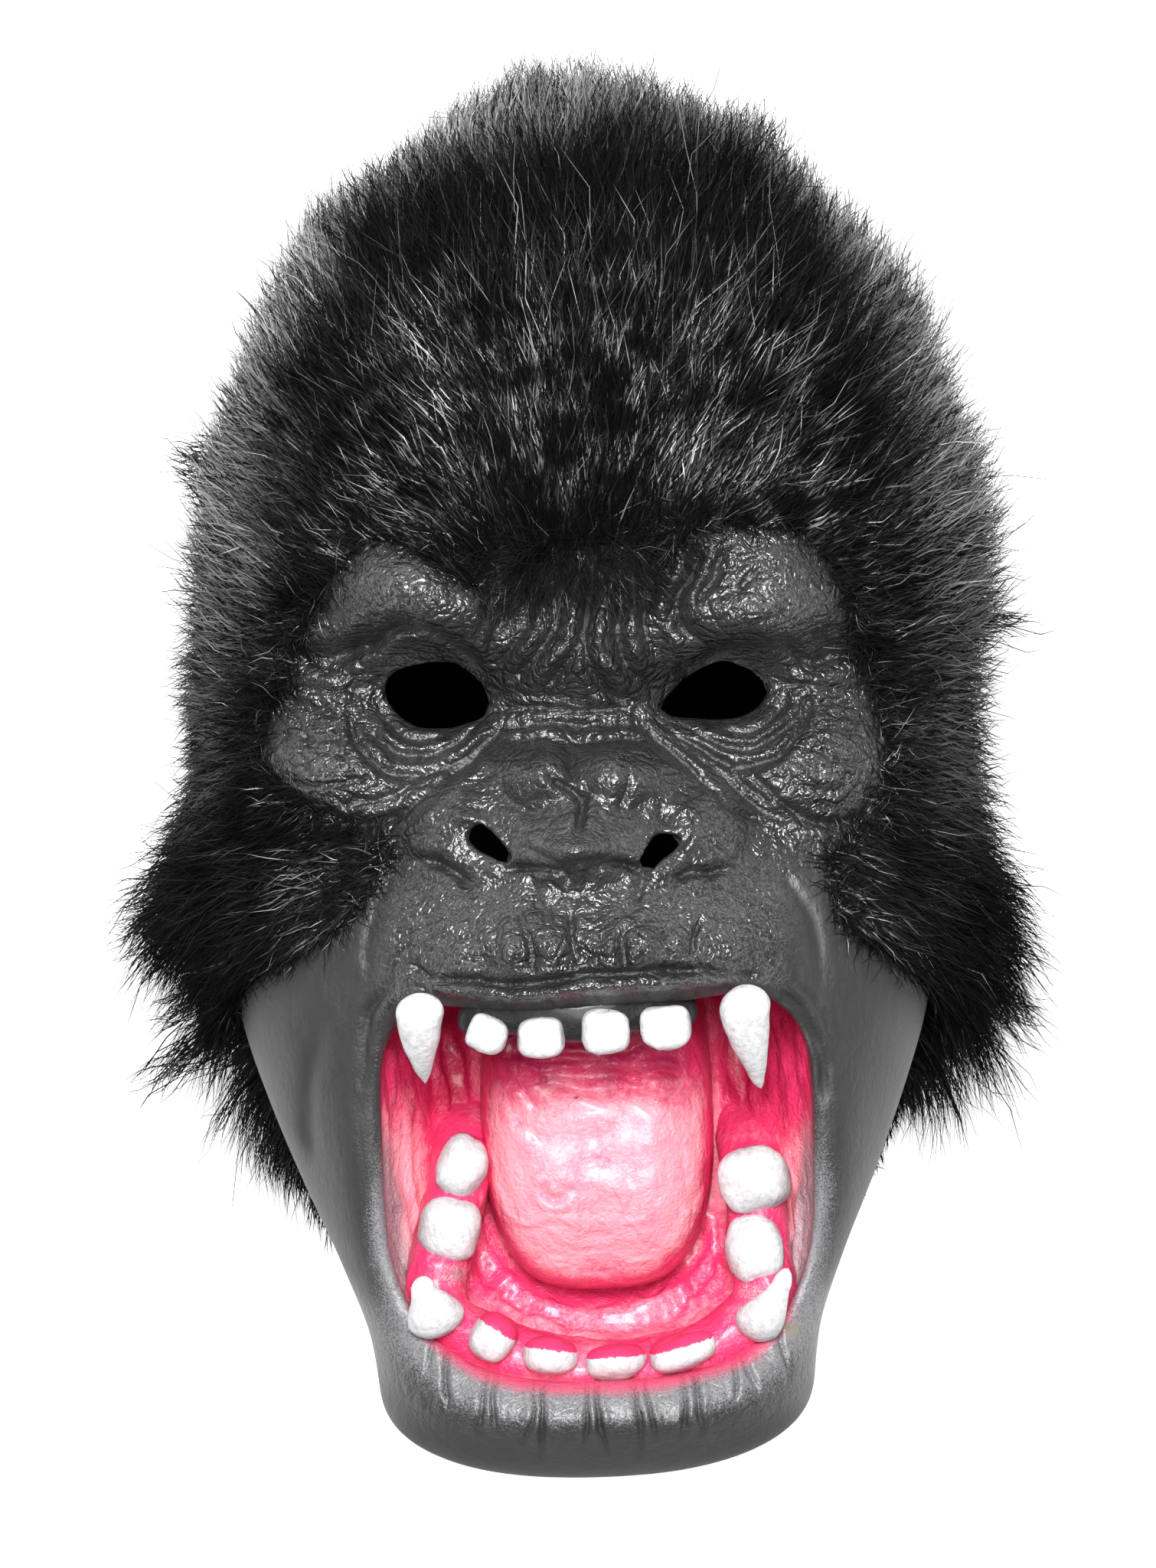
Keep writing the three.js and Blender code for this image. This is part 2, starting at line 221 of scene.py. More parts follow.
class Skin:
    """Half width, height of the widest line, depths before and behind it, and shift sideways, by height."""
    half = profile(
        (0, 93), (-40, 90.5), (-60, 87), (-80, 80.5), (-100, 72.5), (-120, 63.5), (-140, 56.5), (CHIN, 54),
    )
    middle = profile((CROWN, 95), (0, 100), (-60, 108), (-140, 122), (CHIN, 134))
    front = profile(
        (CROWN, 66), (140, 76), (80, 80), (60, 80), (45, 74), (22, 60), (0, 64),
        (-40, 71), (-60, 67), (-80, 56), (-100, 49), (-140, 38), (CHIN, 34),
    )
    back = profile((CROWN, 70), (100, 85), (0, 92), (-60, 100), (HEM, 106), (CHIN, 60))
    shift = profile((CROWN, 3), (150, 5), (60, 4.5), (15, 0))


FRONT_POWER, BACK_POWER = 2.4, 2.6


def head_point(along, y):
    """A place on the head form: along is -1 to 1 across the front and on to 3 across the back."""
    along, y = np.broadcast_arrays(np.asarray(along, float), np.asarray(y, float))
    along = (along + 1) % 4 - 1
    front = along <= 1
    s = np.where(front, along, 2 - along)
    power = np.where(front, FRONT_POWER, BACK_POWER)
    height = np.maximum(0, 1 - np.abs(s) ** power) ** (1 / power)
    size = dome(y)
    x = Skin.shift(y) + Skin.half(y) * size * s
    depth = np.where(front, Skin.front(y), -Skin.back(y))
    return np.stack([x, y, Skin.middle(y) + depth * size * height], axis=-1)


def head_normal(along, y):
    """The way out of the head form."""
    beside, above = 0.004, 0.8
    across = head_point(along + beside, y) - head_point(along - beside, y)
    up = head_point(along, y + above) - head_point(along, y - above)
    return unit(np.cross(across, up), 1e-9)


def head_point_z(x, y):
    """Height of the front of the head form above a place."""
    s = np.clip((x - Skin.shift(y)) / (Skin.half(y) * dome(y)), -1, 1)
    height = np.maximum(0, 1 - np.abs(s) ** FRONT_POWER) ** (1 / FRONT_POWER)
    return Skin.middle(y) + Skin.front(y) * dome(y) * height


# Sculpt of the face: soft mounds (x, y, half length, half height, turn, rise)
MOUNDS = (
    (-38, 46, 27, 15.5, -22, 11), (46, 40, 27, 16, 10, 11),
    (-35, 24, 24, 14, -6, -9), (35, 24, 24, 14, 6, -9),
    (-58, 35, 13, 7, 10, -4), (62, 33, 13, 7, -10, -4),
    (2, 31, 25, 18, 0, 9),
    (-60, 5, 22, 17, 8, 7), (60, 3, 22, 17, -8, 7),
    (0, -6, 44, 25, 0, 12), (-9, 5, 13, 14, 0, 7), (10, 5, 13, 14, 0, 7),
    (-1, -15, 17, 13, 0, 9), (-33, -9, 13, 13, 0, 6), (32, -11, 13, 13, 0, 6),
    (0, -38, 66, 35, 0, 19), (-13, -38, 14, 10, 0, 4), (12, -39, 14, 10, 0, 4), (0, -49, 54, 8, 0, 4),
)

# Crests that overhang the eyes and fill out the nose and muzzle, on top of the mounds
CRESTS = (
    (44, 38, 20, 9, 4, 2.4), (-27, 42, 16, 9, -30, 2.6), (-42, 50, 16, 9, -8, 2.2), (2, 27, 25, 11, 0, 3.4),
    (50, 54, 18, 10, 0, 3.0),
    (-12.5, 33, 7, 7, 30, 1.6), (15.7, 31.5, 6.5, 7, -20, 1.6), (24, 33.5, 6, 5, -30, 1.2),
    (29, 39.5, 5, 6, 20, 1.2),
    (-36, 22, 20, 11, -4, -4.0), (36, 21, 20, 11, 4, -4.0),
    (-62, 5, 13, 9, 12, 1.6), (62, 0, 10, 9, -8, 2.2), (64, 12, 10, 8, 0, 1.2),
    (-11, 3, 9, 8, 0, 1.6), (8, 3.5, 8, 7, 0, 1.6), (19, 0, 9, 9, -30, 1.8), (-27, -4, 9, 9, 30, 1.4),
    (-1, -16.5, 13, 5.5, 0, 3.2), (-18, -8, 7, 5, -40, 1.4),
    (-18, -41, 7, 7, 0, 2.2), (-7.5, -41, 6, 8, 0, 2.2), (5, -41, 6, 7, 0, 2.0), (16, -41, 8, 7, 0, 2.6),
    (24, -41, 6, 7, 0, 1.6), (-30, -42, 9, 6, 0, 1.6), (36, -42, 9, 6, 0, 1.4),
)

# Raised forms with a clear edge: rise, width of the edge, outline
STEPS = (
    (2.6, 3.0, ((-44, -9), (-40, -4), (-34, 2), (-27, 6), (-20, 9), (-12, 10), (-5, 8), (-1.5, 3.5), (3, 7),
                (9, 9), (15, 8.5), (21, 6.5), (27, 2.5), (33, -2), (39, -8), (41, -14), (38, -21),
                (31, -22.5), (26, -22), (20, -24), (13, -20), (8, -17.5), (-2, -19.5), (-10, -17.5),
                (-17, -19.5), (-24, -23), (-31, -20), (-38, -17.5), (-43, -14))),
    (4.4, 2.8, ((-72, 40), (-60, 35.5), (-50, 41.5), (-43, 42), (-38, 40.5), (-32, 38), (-27, 34.5),
                (-22.5, 29), (-20, 36), (-21, 48), (-16, 70), (-72, 70))),
    (4.4, 2.8, ((24, 26), (28, 28.5), (33, 31), (40, 33), (51, 33.5), (60, 34.5), (73, 33), (73, 70),
                (28, 70), (25, 50), (25.5, 38), (22, 31))),
    (2.4, 2.6, ((-80, -6), (-66, -4), (-58.5, -7.5), (-52, -8.5), (-46, -7.5), (-41, -4.5), (-37, 0),
                (-33, 3.5), (-42, 3), (-50, 7), (-55, 14), (-56, 22), (-60, 29), (-80, 30))),
    (2.4, 2.6, ((80, -10), (70, -10), (60.5, -12), (55, -10), (49, -6), (43, 0), (38, 4), (46, 4.5), (53, 8),
                (57, 16), (58, 24), (64, 27), (80, 26))),
)

# Creases of the face: depth, half width, line
CREASES = (
    # lids and bags under the left eye
    (1.0, 1.0, (-49.5, 22.5), (-48, 19.5), (-45, 15), (-41, 12.5), (-36.5, 12), (-32.5, 13)),
    (1.2, 1.1, (-54.5, 18), (-51.5, 15), (-48.5, 11.5), (-44, 9), (-38.5, 8), (-32, 10), (-27, 13),
     (-23.5, 15.5)),
    (1.9, 1.3, (-56.5, 22), (-55.5, 14.5), (-53, 10), (-48.5, 5.5), (-42, 3), (-38, 3), (-33, 4.5), (-28, 7),
     (-23, 10.5), (-19, 13.5)),
    (1.1, 1.0, (-48.5, 4.5), (-41, 1.2), (-36, 1.2), (-30.5, 4), (-25, 7.5), (-18, 13)),
    (1.0, 1.2, (-57.5, -3), (-51, -2.5), (-44.5, -1), (-38, 1)),
    (1.9, 1.4, (-62.5, -3.5), (-58.5, -7.5), (-52, -8.8), (-47, -7.8), (-41.5, -5), (-37, -1), (-32.5, 2),
     (-25, 6.5)),
    # crow's feet on the left
    (1.1, 1.0, (-69.5, 26.5), (-63, 25.5), (-56.5, 25.5), (-50, 26)),
    (0.9, 0.9, (-71.5, 23), (-67, 21.5), (-64, 20.5), (-60.5, 18.5)),
    (0.9, 0.9, (-65.5, 26), (-63, 22), (-60.5, 18.5)),
    (1.0, 0.9, (-74.5, 14), (-68, 14), (-62, 13), (-56.5, 12)),
    (1.1, 0.9, (-70, 18.5), (-67.5, 14.5), (-64.5, 11.5), (-60.5, 10), (-56.5, 9), (-52.5, 7.5)),
    (0.9, 0.9, (-69, 12.5), (-67.5, 8.5), (-64.5, 3.5)),
    (1.1, 0.9, (-75, 4), (-68.5, 2.5), (-61.5, 2), (-54.5, 2.5), (-50, 3.5)),
    (0.8, 0.8, (-62, 20), (-60, 15), (-58.5, 10), (-58, 5)),
    (0.8, 0.8, (-64.5, 3), (-61, -1), (-58, -4)),
    # under the left brow
    (3.4, 2.0, (-59, 33.5), (-54.5, 34.5), (-50.5, 36), (-47, 38), (-43, 40), (-39, 40)),
    (1.6, 1.5, (-43, 40.8), (-38, 39.8), (-32, 37.2), (-27, 33.5), (-24, 30.5), (-22.5, 27.5)),
    (1.2, 1.2, (-21.5, 52), (-20.5, 46.5), (-22, 41), (-23.5, 35.5)),
    (1.1, 1.1, (-17, 50), (-17, 44), (-19.5, 37.5), (-21, 31)),
    # frown
    (2.0, 1.5, (-3.5, 45), (-4, 40), (-5.5, 36), (-9.5, 31), (-15, 26.5)),
    (2.2, 1.5, (4, 47), (3, 41), (1.5, 35.5), (-2, 29.5), (-8, 22.5)),
    (2.4, 1.5, (4, 45.5), (2.6, 39), (3, 33.5), (4, 28.5), (6.5, 24), (10.5, 21), (15.5, 20)),
    (2.2, 1.4, (12, 46), (11, 38.5), (11.5, 32.5), (13.5, 27.5), (17.5, 23.5)),
    (1.6, 1.2, (20.5, 51), (18.5, 44.5), (17.5, 36.5), (19.5, 33), (22.5, 31)),
    (2.6, 1.6, (32, 57.5), (29.5, 50.5), (26.5, 45), (26, 40.5), (27, 36.5), (29.5, 35)),
    (1.5, 1.3, (38, 57), (35.5, 51.5), (32.5, 46.5), (30.5, 42)),
    (1.2, 1.1, (-10.5, 44), (-11.5, 39), (-15, 34), (-19, 31)),
    # right brow
    (0.9, 1.2, (52, 52.5), (45.5, 50.5), (40, 45.5)),
    (0.9, 1.1, (53.5, 42), (48.5, 39.5), (43.5, 35.5)),
    (0.8, 1.0, (59, 41), (54, 38.5), (49.5, 36)),
    (1.5, 1.5, (23.5, 25.5), (28, 27.8), (33, 29.8), (37.5, 31), (44, 32.2), (51, 32.4)),
    (3.4, 1.9, (50.5, 32.5), (54.5, 30.5), (57.5, 28.5), (61.5, 28.5), (66, 30.5)),
    # lids and bags under the right eye
    (1.0, 1.0, (36, 12.2), (42.5, 11.5), (47, 13), (50.5, 17), (52.5, 20.5)),
    (1.2, 1.1, (23, 15), (28.5, 12), (33.5, 9.5), (38.5, 7.5), (45, 8), (50.5, 10.5), (55, 14.5), (56.5, 19)),
    (1.9, 1.3, (21, 14), (27, 9.8), (31.5, 7), (35.5, 4), (41, 3), (46.5, 4), (51.5, 6.5), (55.5, 11),
     (57.5, 16), (58, 21)),
    # folds from the inner corner of the right eye down past the nose
    (1.8, 1.2, (15, 15.5), (21.5, 8.5), (27, 3.5), (32, -1.5), (37, -7), (41, -9.5), (45.5, -10.5)),
    (1.4, 1.1, (20.5, 12.5), (26, 8), (31, 4.5), (36.5, 0.5), (41.5, -5), (46, -8.5), (51, -10.5)),
    (1.2, 1.0, (36.5, 3.5), (42, -2), (47.5, -6.5)),
    (1.3, 1.0, (42.5, 1.5), (46.5, -2), (50.5, -6.5), (54, -9.5)),
    (1.4, 1.2, (-19, 13.5), (-24, 8), (-29, 3.5), (-35, -2), (-41, -7.5), (-46, -11)),
    # crow's feet on the right
    (1.0, 1.0, (48.5, 23), (57.5, 23), (64, 22), (70.5, 21)),
    (1.0, 0.9, (58, 18), (64, 18.5), (69.5, 17)),
    (1.0, 0.9, (56, 11), (61, 12), (66.5, 11), (71, 10.5)),
    (1.1, 0.9, (51.5, 6.5), (55.5, 7), (61, 5), (66, 3), (72, 3)),
    (1.1, 1.0, (53.5, -0.5), (57.5, -2.8), (63.5, -4), (66, -1.5), (66.5, 2)),
    (0.8, 0.8, (61, 17), (60, 12), (61, 6), (63, 1)),
    (1.8, 1.4, (51, -7), (55, -10), (60.5, -12), (65.5, -11.5), (70.5, -9.5), (74, -4)),
    # bridge of the nose
    (1.5, 1.0, (-20, 19), (-10, 19.5), (-2, 18.5), (6, 18.5), (14, 18)),
    (1.3, 1.0, (-19, 14.5), (-3.5, 15), (6, 14.2), (14, 14), (17.5, 13)),
    (1.6, 1.1, (-18.5, 11.5), (-9, 11.5), (-2.5, 9.5), (3, 10), (11.5, 10.5), (19, 9.5)),
    (0.9, 0.9, (-14, 23), (-6, 22), (1, 21), (5, 22)),
    # nose
    (1.8, 1.2, (-7.5, 3.5), (-5, 1), (-1.5, -1.5), (0.5, -5), (0, -9), (-1, -12)),
    (1.2, 1.2, (-1.5, 8), (-1.5, 4), (-0.5, 0.5)),
    (1.4, 1.3, (12, 3), (12.5, 0.5), (11, -4), (8.5, -7.5)),
    (1.0, 1.2, (2, -1), (1.2, -6), (0, -11)),
    (1.0, 1.4, (-19, -1), (-16.5, -4), (-12, -7), (-8.5, -5.5)),
    (1.8, 1.6, (-13, -15.5), (-8, -17.5), (-4.5, -18.8), (1, -18.8), (5, -18), (8, -16.2)),
    (1.3, 1.0, (-5, -19.5), (-3, -22.5), (-3, -24.5)),
    (1.2, 1.0, (4, -19), (1, -22), (1.5, -24.5)),
    (1.6, 1.2, (-19, -19.8), (-12.5, -19.8), (-6.5, -20.6), (-3.5, -22.5)),
    (1.6, 1.2, (3, -22.4), (5, -20), (8, -19.4), (12.5, -21), (16, -23.5)),
    (2.2, 1.4, (22.5, -25), (26, -22.6), (31, -23), (37, -21.5)),
    (2.0, 1.5, (-39.5, -17), (-34, -18.5), (-30.5, -20.5), (-28, -24)),
    (2.4, 2.2, (21.5, -9.5), (21, -10.5)),
    (2.0, 1.8, (-35, -17.2), (-34, -17.8)),
    # upper lip
    (1.3, 1.1, (-21.5, -33), (-21, -36.5), (-20, -40.5)),
    (1.7, 1.2, (-15.5, -30), (-14, -35), (-12.5, -39), (-12, -43.5)),
    (1.6, 1.2, (-2.5, -30.5), (-3, -35.5), (-2.5, -40), (-1, -43)),
    (1.6, 1.2, (10.5, -34.5), (9.5, -38), (10, -42), (10.5, -45)),
    (1.4, 1.1, (28.5, -34.5), (27, -37.5), (26, -42.5)),
    (1.6, 1.4, (3.5, -37), (4.5, -38.5)),
    (1.6, 1.5, (19, -37), (19.5, -38)),
    (0.8, 1.2, (-13, -21), (-11.5, -25.5), (-10, -30)),
    (0.8, 1.3, (15, -24), (13.5, -28), (11.5, -32)),
    (2.4, 1.2, (-41, -43.8), (-36, -46.3), (-28, -47), (-18, -48.2), (-9, -47.6), (0.5, -46.3), (10.5, -46.2),
     (21, -45.8), (31, -46.6), (41, -47.4)),
    (0.9, 1.1, (-30, -52), (-35, -50.5), (-40, -47.5)),
    (0.8, 0.9, (-18, -55), (-21, -51.5)),
    (0.8, 0.9, (-7, -55), (-9.5, -50.5)),
    (0.8, 0.9, (4, -54), (1.5, -50)),
    (0.8, 0.9, (16, -54), (14, -50)),
    (0.8, 0.9, (27, -53), (25.5, -49.5)),
    (0.8, 0.9, (35, -52), (34, -49)),
    # corners of the mouth and cheeks
    (1.2, 3.2, (-66, -58), (-69, -68), (-71, -80), (-70, -92)),
    (1.6, 1.5, (46, -50), (52, -56), (56, -63), (58, -70), (59, -80)),
    (1.0, 1.3, (51, -50), (57, -56), (61, -66)),
    (1.3, 1.6, (-47, -47), (-51, -52), (-54, -60), (-55.5, -72)),
    (0.9, 2.4, (-46, -20), (-51, -30), (-53, -40), (-52, -47)),
    (0.9, 2.4, (48, -22), (55, -32), (58, -44), (58, -54)),
)

# Raised folds between the creases: rise, half width, line
FOLDS = (
    (1.0, 2.2, (-55, 32), (-48.5, 34.5), (-44.5, 36.5), (-40, 37.2), (-34.5, 36.2), (-30.5, 34.5),
     (-26.5, 31)),
    (0.4, 1.6, (-52, 20.5), (-49, 16.5), (-45.5, 12), (-41, 10.5), (-36, 10), (-31, 11.5), (-26, 14.5)),
    (0.6, 2.0, (-54, 14), (-51, 9.5), (-46, 6), (-40, 5.2), (-34, 6.4), (-28, 9.6), (-22.5, 13.2)),
    (1.8, 3.0, (-7.5, 47), (-9, 38.5), (-12.5, 33.5), (-17.5, 29.5)),
    (1.6, 2.6, (0, 47), (-1, 36), (-5, 30), (-10, 26)),
    (1.8, 2.7, (7.5, 47), (7, 36), (8, 30.5), (11, 25.5), (15, 22.5)),
    (1.8, 2.8, (15.5, 49), (14.8, 40), (15, 34), (17, 29), (21, 26)),
    (1.8, 3.0, (25, 52), (22.5, 45), (22, 39), (24, 34)),
    (1.2, 1.6, (30.5, 47), (30, 42.5), (31, 38.5)),
    (0.6, 2.0, (26, 13.4), (32, 11), (38.5, 9.6), (44, 9.8), (49, 12), (53, 16)),
    (0.7, 1.8, (-18, 17), (-8, 17.4), (4, 16.8), (15, 16)),
    (0.7, 1.8, (-18, 13), (-7, 13.3), (5, 12.4), (17, 11.6)),
    (1.2, 1.8, (-31, -6.5), (-26.5, -7.5), (-21.5, -10), (-17.5, -14.5)),
    (1.2, 2.0, (24, -5.5), (28.5, -9), (28, -14), (24, -18.5)),
    (1.0, 1.7, (17.5, -16), (14.5, -17.5), (12.5, -19)),
    (1.3, 1.7, (-40, -48.6), (-30, -50), (-18, -51.2), (-6, -50.6), (8, -49.6), (22, -49.2), (40, -50)),
    (0.9, 2.2, (-18, -34), (-18, -40), (-17, -44)),
    (0.9, 2.6, (-7.5, -33), (-7.5, -40), (-6.5, -44)),
    (0.8, 2.2, (6.5, -36), (6, -42)),
    (0.8, 2.4, (15, -35), (15, -43)),
    (0.8, 2.0, (23.5, -36), (22.5, -43)),
)

MOUTH = dict(x=2.0, y=-98.0, half=53.5, up=45.0, down=50.0, squareness=6.0, roundness=2.8)
LIP_OUTSIDE, LIP_WIDTH, LIP_RISE, LIP_TOP = 8.0, 8.0, 5.0, -62.0
LIP_LINE = profile(
    (-56, -53), (-42, -50.5), (-37, -52), (-29.5, -53.5), (-22.5, -55), (-16, -55.5), (-8, -55), (0, -54),
    (8.5, -54.5), (17, -54), (25.5, -53.5), (33, -52.5), (40, -51.5), (56, -53),
)
LIP_GROOVES = (-40.5, -34, -28, -22.5, -17, -11.5, -4.5, 1.5, 7.5, 13.5, 18.5, 24.5, 30.5, 36, 41.5)
LIP_GROOVE_TOP = -147
EYES = (
    ((-47.5, 25), (-46, 28.5), (-43.5, 30), (-39, 31), (-35, 31.5), (-30, 31), (-26.5, 29), (-23.5, 26),
     (-22, 23), (-21.5, 20), (-23, 17.5), (-27, 16), (-31, 15), (-35.5, 15), (-39.5, 15.5), (-43.5, 18),
     (-46.5, 21.5)),
    ((20.5, 18.5), (24, 22), (27.5, 25.5), (32, 28), (37, 29.5), (40.5, 28.5), (44, 27), (46.5, 24.5),
     (48, 22), (46.5, 19), (44.5, 17), (41, 15.5), (37, 15), (33.5, 15), (28.5, 15.5), (24, 16)),
)
NOSTRILS = (
    ((-27.5, -11.5), (-26, -9.8), (-24, -9), (-21.5, -11), (-18.5, -14.5), (-17, -17.5), (-18.5, -18.7),
     (-22, -17), (-26, -14.5)),
    ((18, -13.5), (20, -12.8), (22, -13), (24.5, -14), (23.5, -16.5), (20, -19), (17, -21.5), (14, -20.8),
     (15.5, -17)),
)
HOLES = [closed_line(outline) for outline in (*EYES, *NOSTRILS)]


def mouth_size(x, y):
    """Size of the outline of the mouth that runs through each place, 1 for its own edge."""
    below = y < MOUTH["y"]
    n = np.where(below, MOUTH["roundness"], MOUTH["squareness"])
    u = np.abs(x - MOUTH["x"]) / MOUTH["half"]
    v = np.abs(y - MOUTH["y"]) / np.where(below, MOUTH["down"], MOUTH["up"])
    return (u**n + v**n) ** (1 / n)


def mouth_ring(angle, half=MOUTH["half"], up=MOUTH["up"], down=MOUTH["down"]):
    """Places on the outline of the mouth, or of a section of its pocket."""
    c, s = np.cos(angle), np.sin(angle)
    power = 2 / np.where(s < 0, MOUTH["roundness"], MOUTH["squareness"])
    return MOUTH["x"] + half * squared(c, power), MOUTH["y"] + np.where(s < 0, down, up) * squared(s, power)


def lip_lift(x, y):
    """How far the upper lip's lower edge hangs below the plain outline of the mouth."""
    plain = MOUTH["y"] + MOUTH["up"]
    return (LIP_LINE(x) - plain) * step(y, -64, -55)


def mouth_outline():
    """The edge of the lips seen from the front."""
    x, y = mouth_ring(np.linspace(0, 2 * np.pi, 240, endpoint=False))
    return np.stack([x, y + lip_lift(x, y)], axis=1)


MOUTH_EDGE = mouth_outline()


def relief(x, y):
    """Sculpted rise of the face at each place, and how deep in a crease it is."""
    place = flat(x, y)
    from_edge = (mouth_size(x, y) - 1) * MOUTH["down"]
    x = x + 0.55 * noise(place, 6, 91) + 0.25 * noise(place, 2.6, 93)
    y = y + 0.55 * noise(place, 6, 92) + 0.25 * noise(place, 2.6, 94)
    uneven = 0.85 + 0.5 * noise(place, 7, 95)
    rise, deep = np.zeros(x.shape), np.zeros(x.shape)
    for cx, cy, rx, ry, turn, height in MOUNDS + CRESTS:
        a = math.radians(turn)
        u = ((x - cx) * math.cos(a) + (y - cy) * math.sin(a)) / rx
        v = ((y - cy) * math.cos(a) - (x - cx) * math.sin(a)) / ry
        rise += height * np.maximum(0, 1 - u * u - v * v) ** 2
    for height, edge, outline in STEPS:
        rise += height * step(-near_outside(x, y, closed_line(outline), 2 * edge), -edge, edge)
    rise += LIP_RISE * hump(from_edge, LIP_OUTSIDE, LIP_WIDTH) * step(-y, -LIP_TOP, -LIP_TOP + 30)
    for depth, width, *line in CREASES:
        cut, banks, near = stroke(x, y, line, width)
        rise[near] += depth * uneven[near] * (0.42 * banks - 1.4 * cut)
        deep[near] += depth * uneven[near] * cut
    for height, width, *line in FOLDS:
        cut, _, near = stroke(x, y, line, width)
        rise[near] += 1.4 * height * cut
    for i, at in enumerate(LIP_GROOVES):
        lean = 0.22 * at / 40
        sway = 0.9 * (-1) ** i
        top = LIP_GROOVE_TOP + 0.0105 * at**2
        line = [(at + lean * k + sway * (k % 3), top - k) for k in (-1, 5, 11, 16 + 2 * (i % 3))]
        cut, banks, near = stroke(x, y, line, 0.7 + 0.15 * (i % 3))
        rise[near] += (0.9 + 0.4 * (i % 2)) * (0.45 * banks - 1.2 * cut)
        deep[near] += 0.75 * cut
    return rise, deep


def faded_rise(x, y):
    """Rise of the sculpt, dying out towards the sides of the head."""
    return relief(x, y)[0] * (1 - step(np.abs(x), *SIDE_FADE))


# Meshes


def make_mesh(name, points, faces, material, attributes=None):
    """One object from points in drawing millimetres and lists of faces with equal corner counts."""
    mesh = bpy.data.meshes.new(name)
    co = to_frame(points)
    mesh.vertices.add(len(co))
    mesh.vertices.foreach_set("co", co.astype(np.float32).ravel())
    faces = [np.asarray(f, np.int32) for f in faces if len(f)]
    corners = np.concatenate([f.ravel() for f in faces])
    sizes = np.concatenate([np.full(len(f), f.shape[1], np.int32) for f in faces])
    mesh.loops.add(len(corners))
    mesh.loops.foreach_set("vertex_index", corners)
    mesh.polygons.add(len(sizes))
    mesh.polygons.foreach_set("loop_start", np.concatenate([[0], np.cumsum(sizes)[:-1]]).astype(np.int32))
    mesh.polygons.foreach_set("loop_total", sizes)
    mesh.polygons.foreach_set("use_smooth", np.ones(len(sizes), bool))
    for key, values in (attributes or {}).items():
        layer = mesh.attributes.new(key, "FLOAT", "POINT")
        layer.data.foreach_set("value", np.asarray(values, np.float32))
    mesh.update(calc_edges=True)
    mesh.materials.append(material)
    piece = bpy.data.objects.new(name, mesh)
    bpy.context.scene.collection.objects.link(piece)
    return piece


def grid_faces(rows, columns, closed=False):
    """Quads between the places of a grid, joined round when it is closed."""
    i, j = np.meshgrid(np.arange(rows - 1), np.arange(columns if closed else columns - 1), indexing="ij")
    a, b = i * columns + j, i * columns + (j + 1) % columns
    return np.stack([a, b, b + columns, a + columns], axis=-1).reshape(-1, 4)


def graded(*stretches):
    """Values over [from, to, step] stretches, ends included."""
    out = [np.linspace(a, b, max(2, round(abs(b - a) / d) + 1))[:-1] for a, b, d in stretches]
    return np.concatenate([*out, [stretches[-1][1]]])


def cut_holes(points, faces, side):
    """Keeps the part of a quad grid where side is positive, with new corners exactly on its zero line.

    Gives the faces by their number of corners, a function that finds values at the new corners, and the edges
    of the cut.
    """
    inside = side < 0
    corner_in = inside[faces]
    kept = faces[~corner_in.any(axis=1)]
    crossing = faces[corner_in.any(axis=1) & ~corner_in.all(axis=1)]
    new, made, polygons, rim = [], {}, [], []
    for quad in crossing:
        ring, marks = [], []
        for a, b in zip(quad, np.roll(quad, -1)):
            if not inside[a]:
                ring.append(int(a))
            if inside[a] != inside[b]:
                key = (min(a, b), max(a, b))
                if key not in made:
                    t = side[key[0]] / (side[key[0]] - side[key[1]])
                    made[key] = len(points) + len(new)
                    new.append((key, t))
                ring.append(made[key])
                marks.append(made[key])
        if len(ring) >= 3 and len(marks) == 2:
            polygons.append(ring)
            at = [ring.index(m) for m in marks]
            ordered = marks if (at[1] - at[0]) % len(ring) == 1 else marks[::-1]
            rim.append(tuple(ordered))
    groups = [np.array([p for p in polygons if len(p) == count]).reshape(-1, count) for count in (4, 3, 5)]
    ends = np.array([key for key, _ in new])
    share = np.array([t for _, t in new])[:, None]

    def at_cut(values):
        return values[ends[:, 0]] * (1 - share) + values[ends[:, 1]] * share

    return [kept, *groups], at_cut, rim


def chains(edges):
    """Closed loops of vertices from directed edges."""
    follow = dict(edges)
    loops = []
    while follow:
        start, at = follow.popitem()
        loop = [start]
        while at != start and at in follow:
            loop.append(at)
            at = follow.pop(at)
        if at == start:
            loops.append(loop)
    return loops


# Materials


class Level:
    """A number that varies over a surface; sums and products of levels add Math nodes."""

    def __init__(self, finish, socket):
        self.finish, self.socket = finish, socket

    def _math(self, operation, *values):
        return self.finish.add("ShaderNodeMath", {"operation": operation}, *values)

    def __add__(self, other):
        return self._math("ADD", self, other)

    def __radd__(self, other):
        return self._math("ADD", other, self)

    def __sub__(self, other):
        return self._math("SUBTRACT", self, other)

    def __rsub__(self, other):
        return self._math("SUBTRACT", other, self)

    def __mul__(self, other):
        return self._math("MULTIPLY", self, other)

    def __rmul__(self, other):
        return self._math("MULTIPLY", other, self)


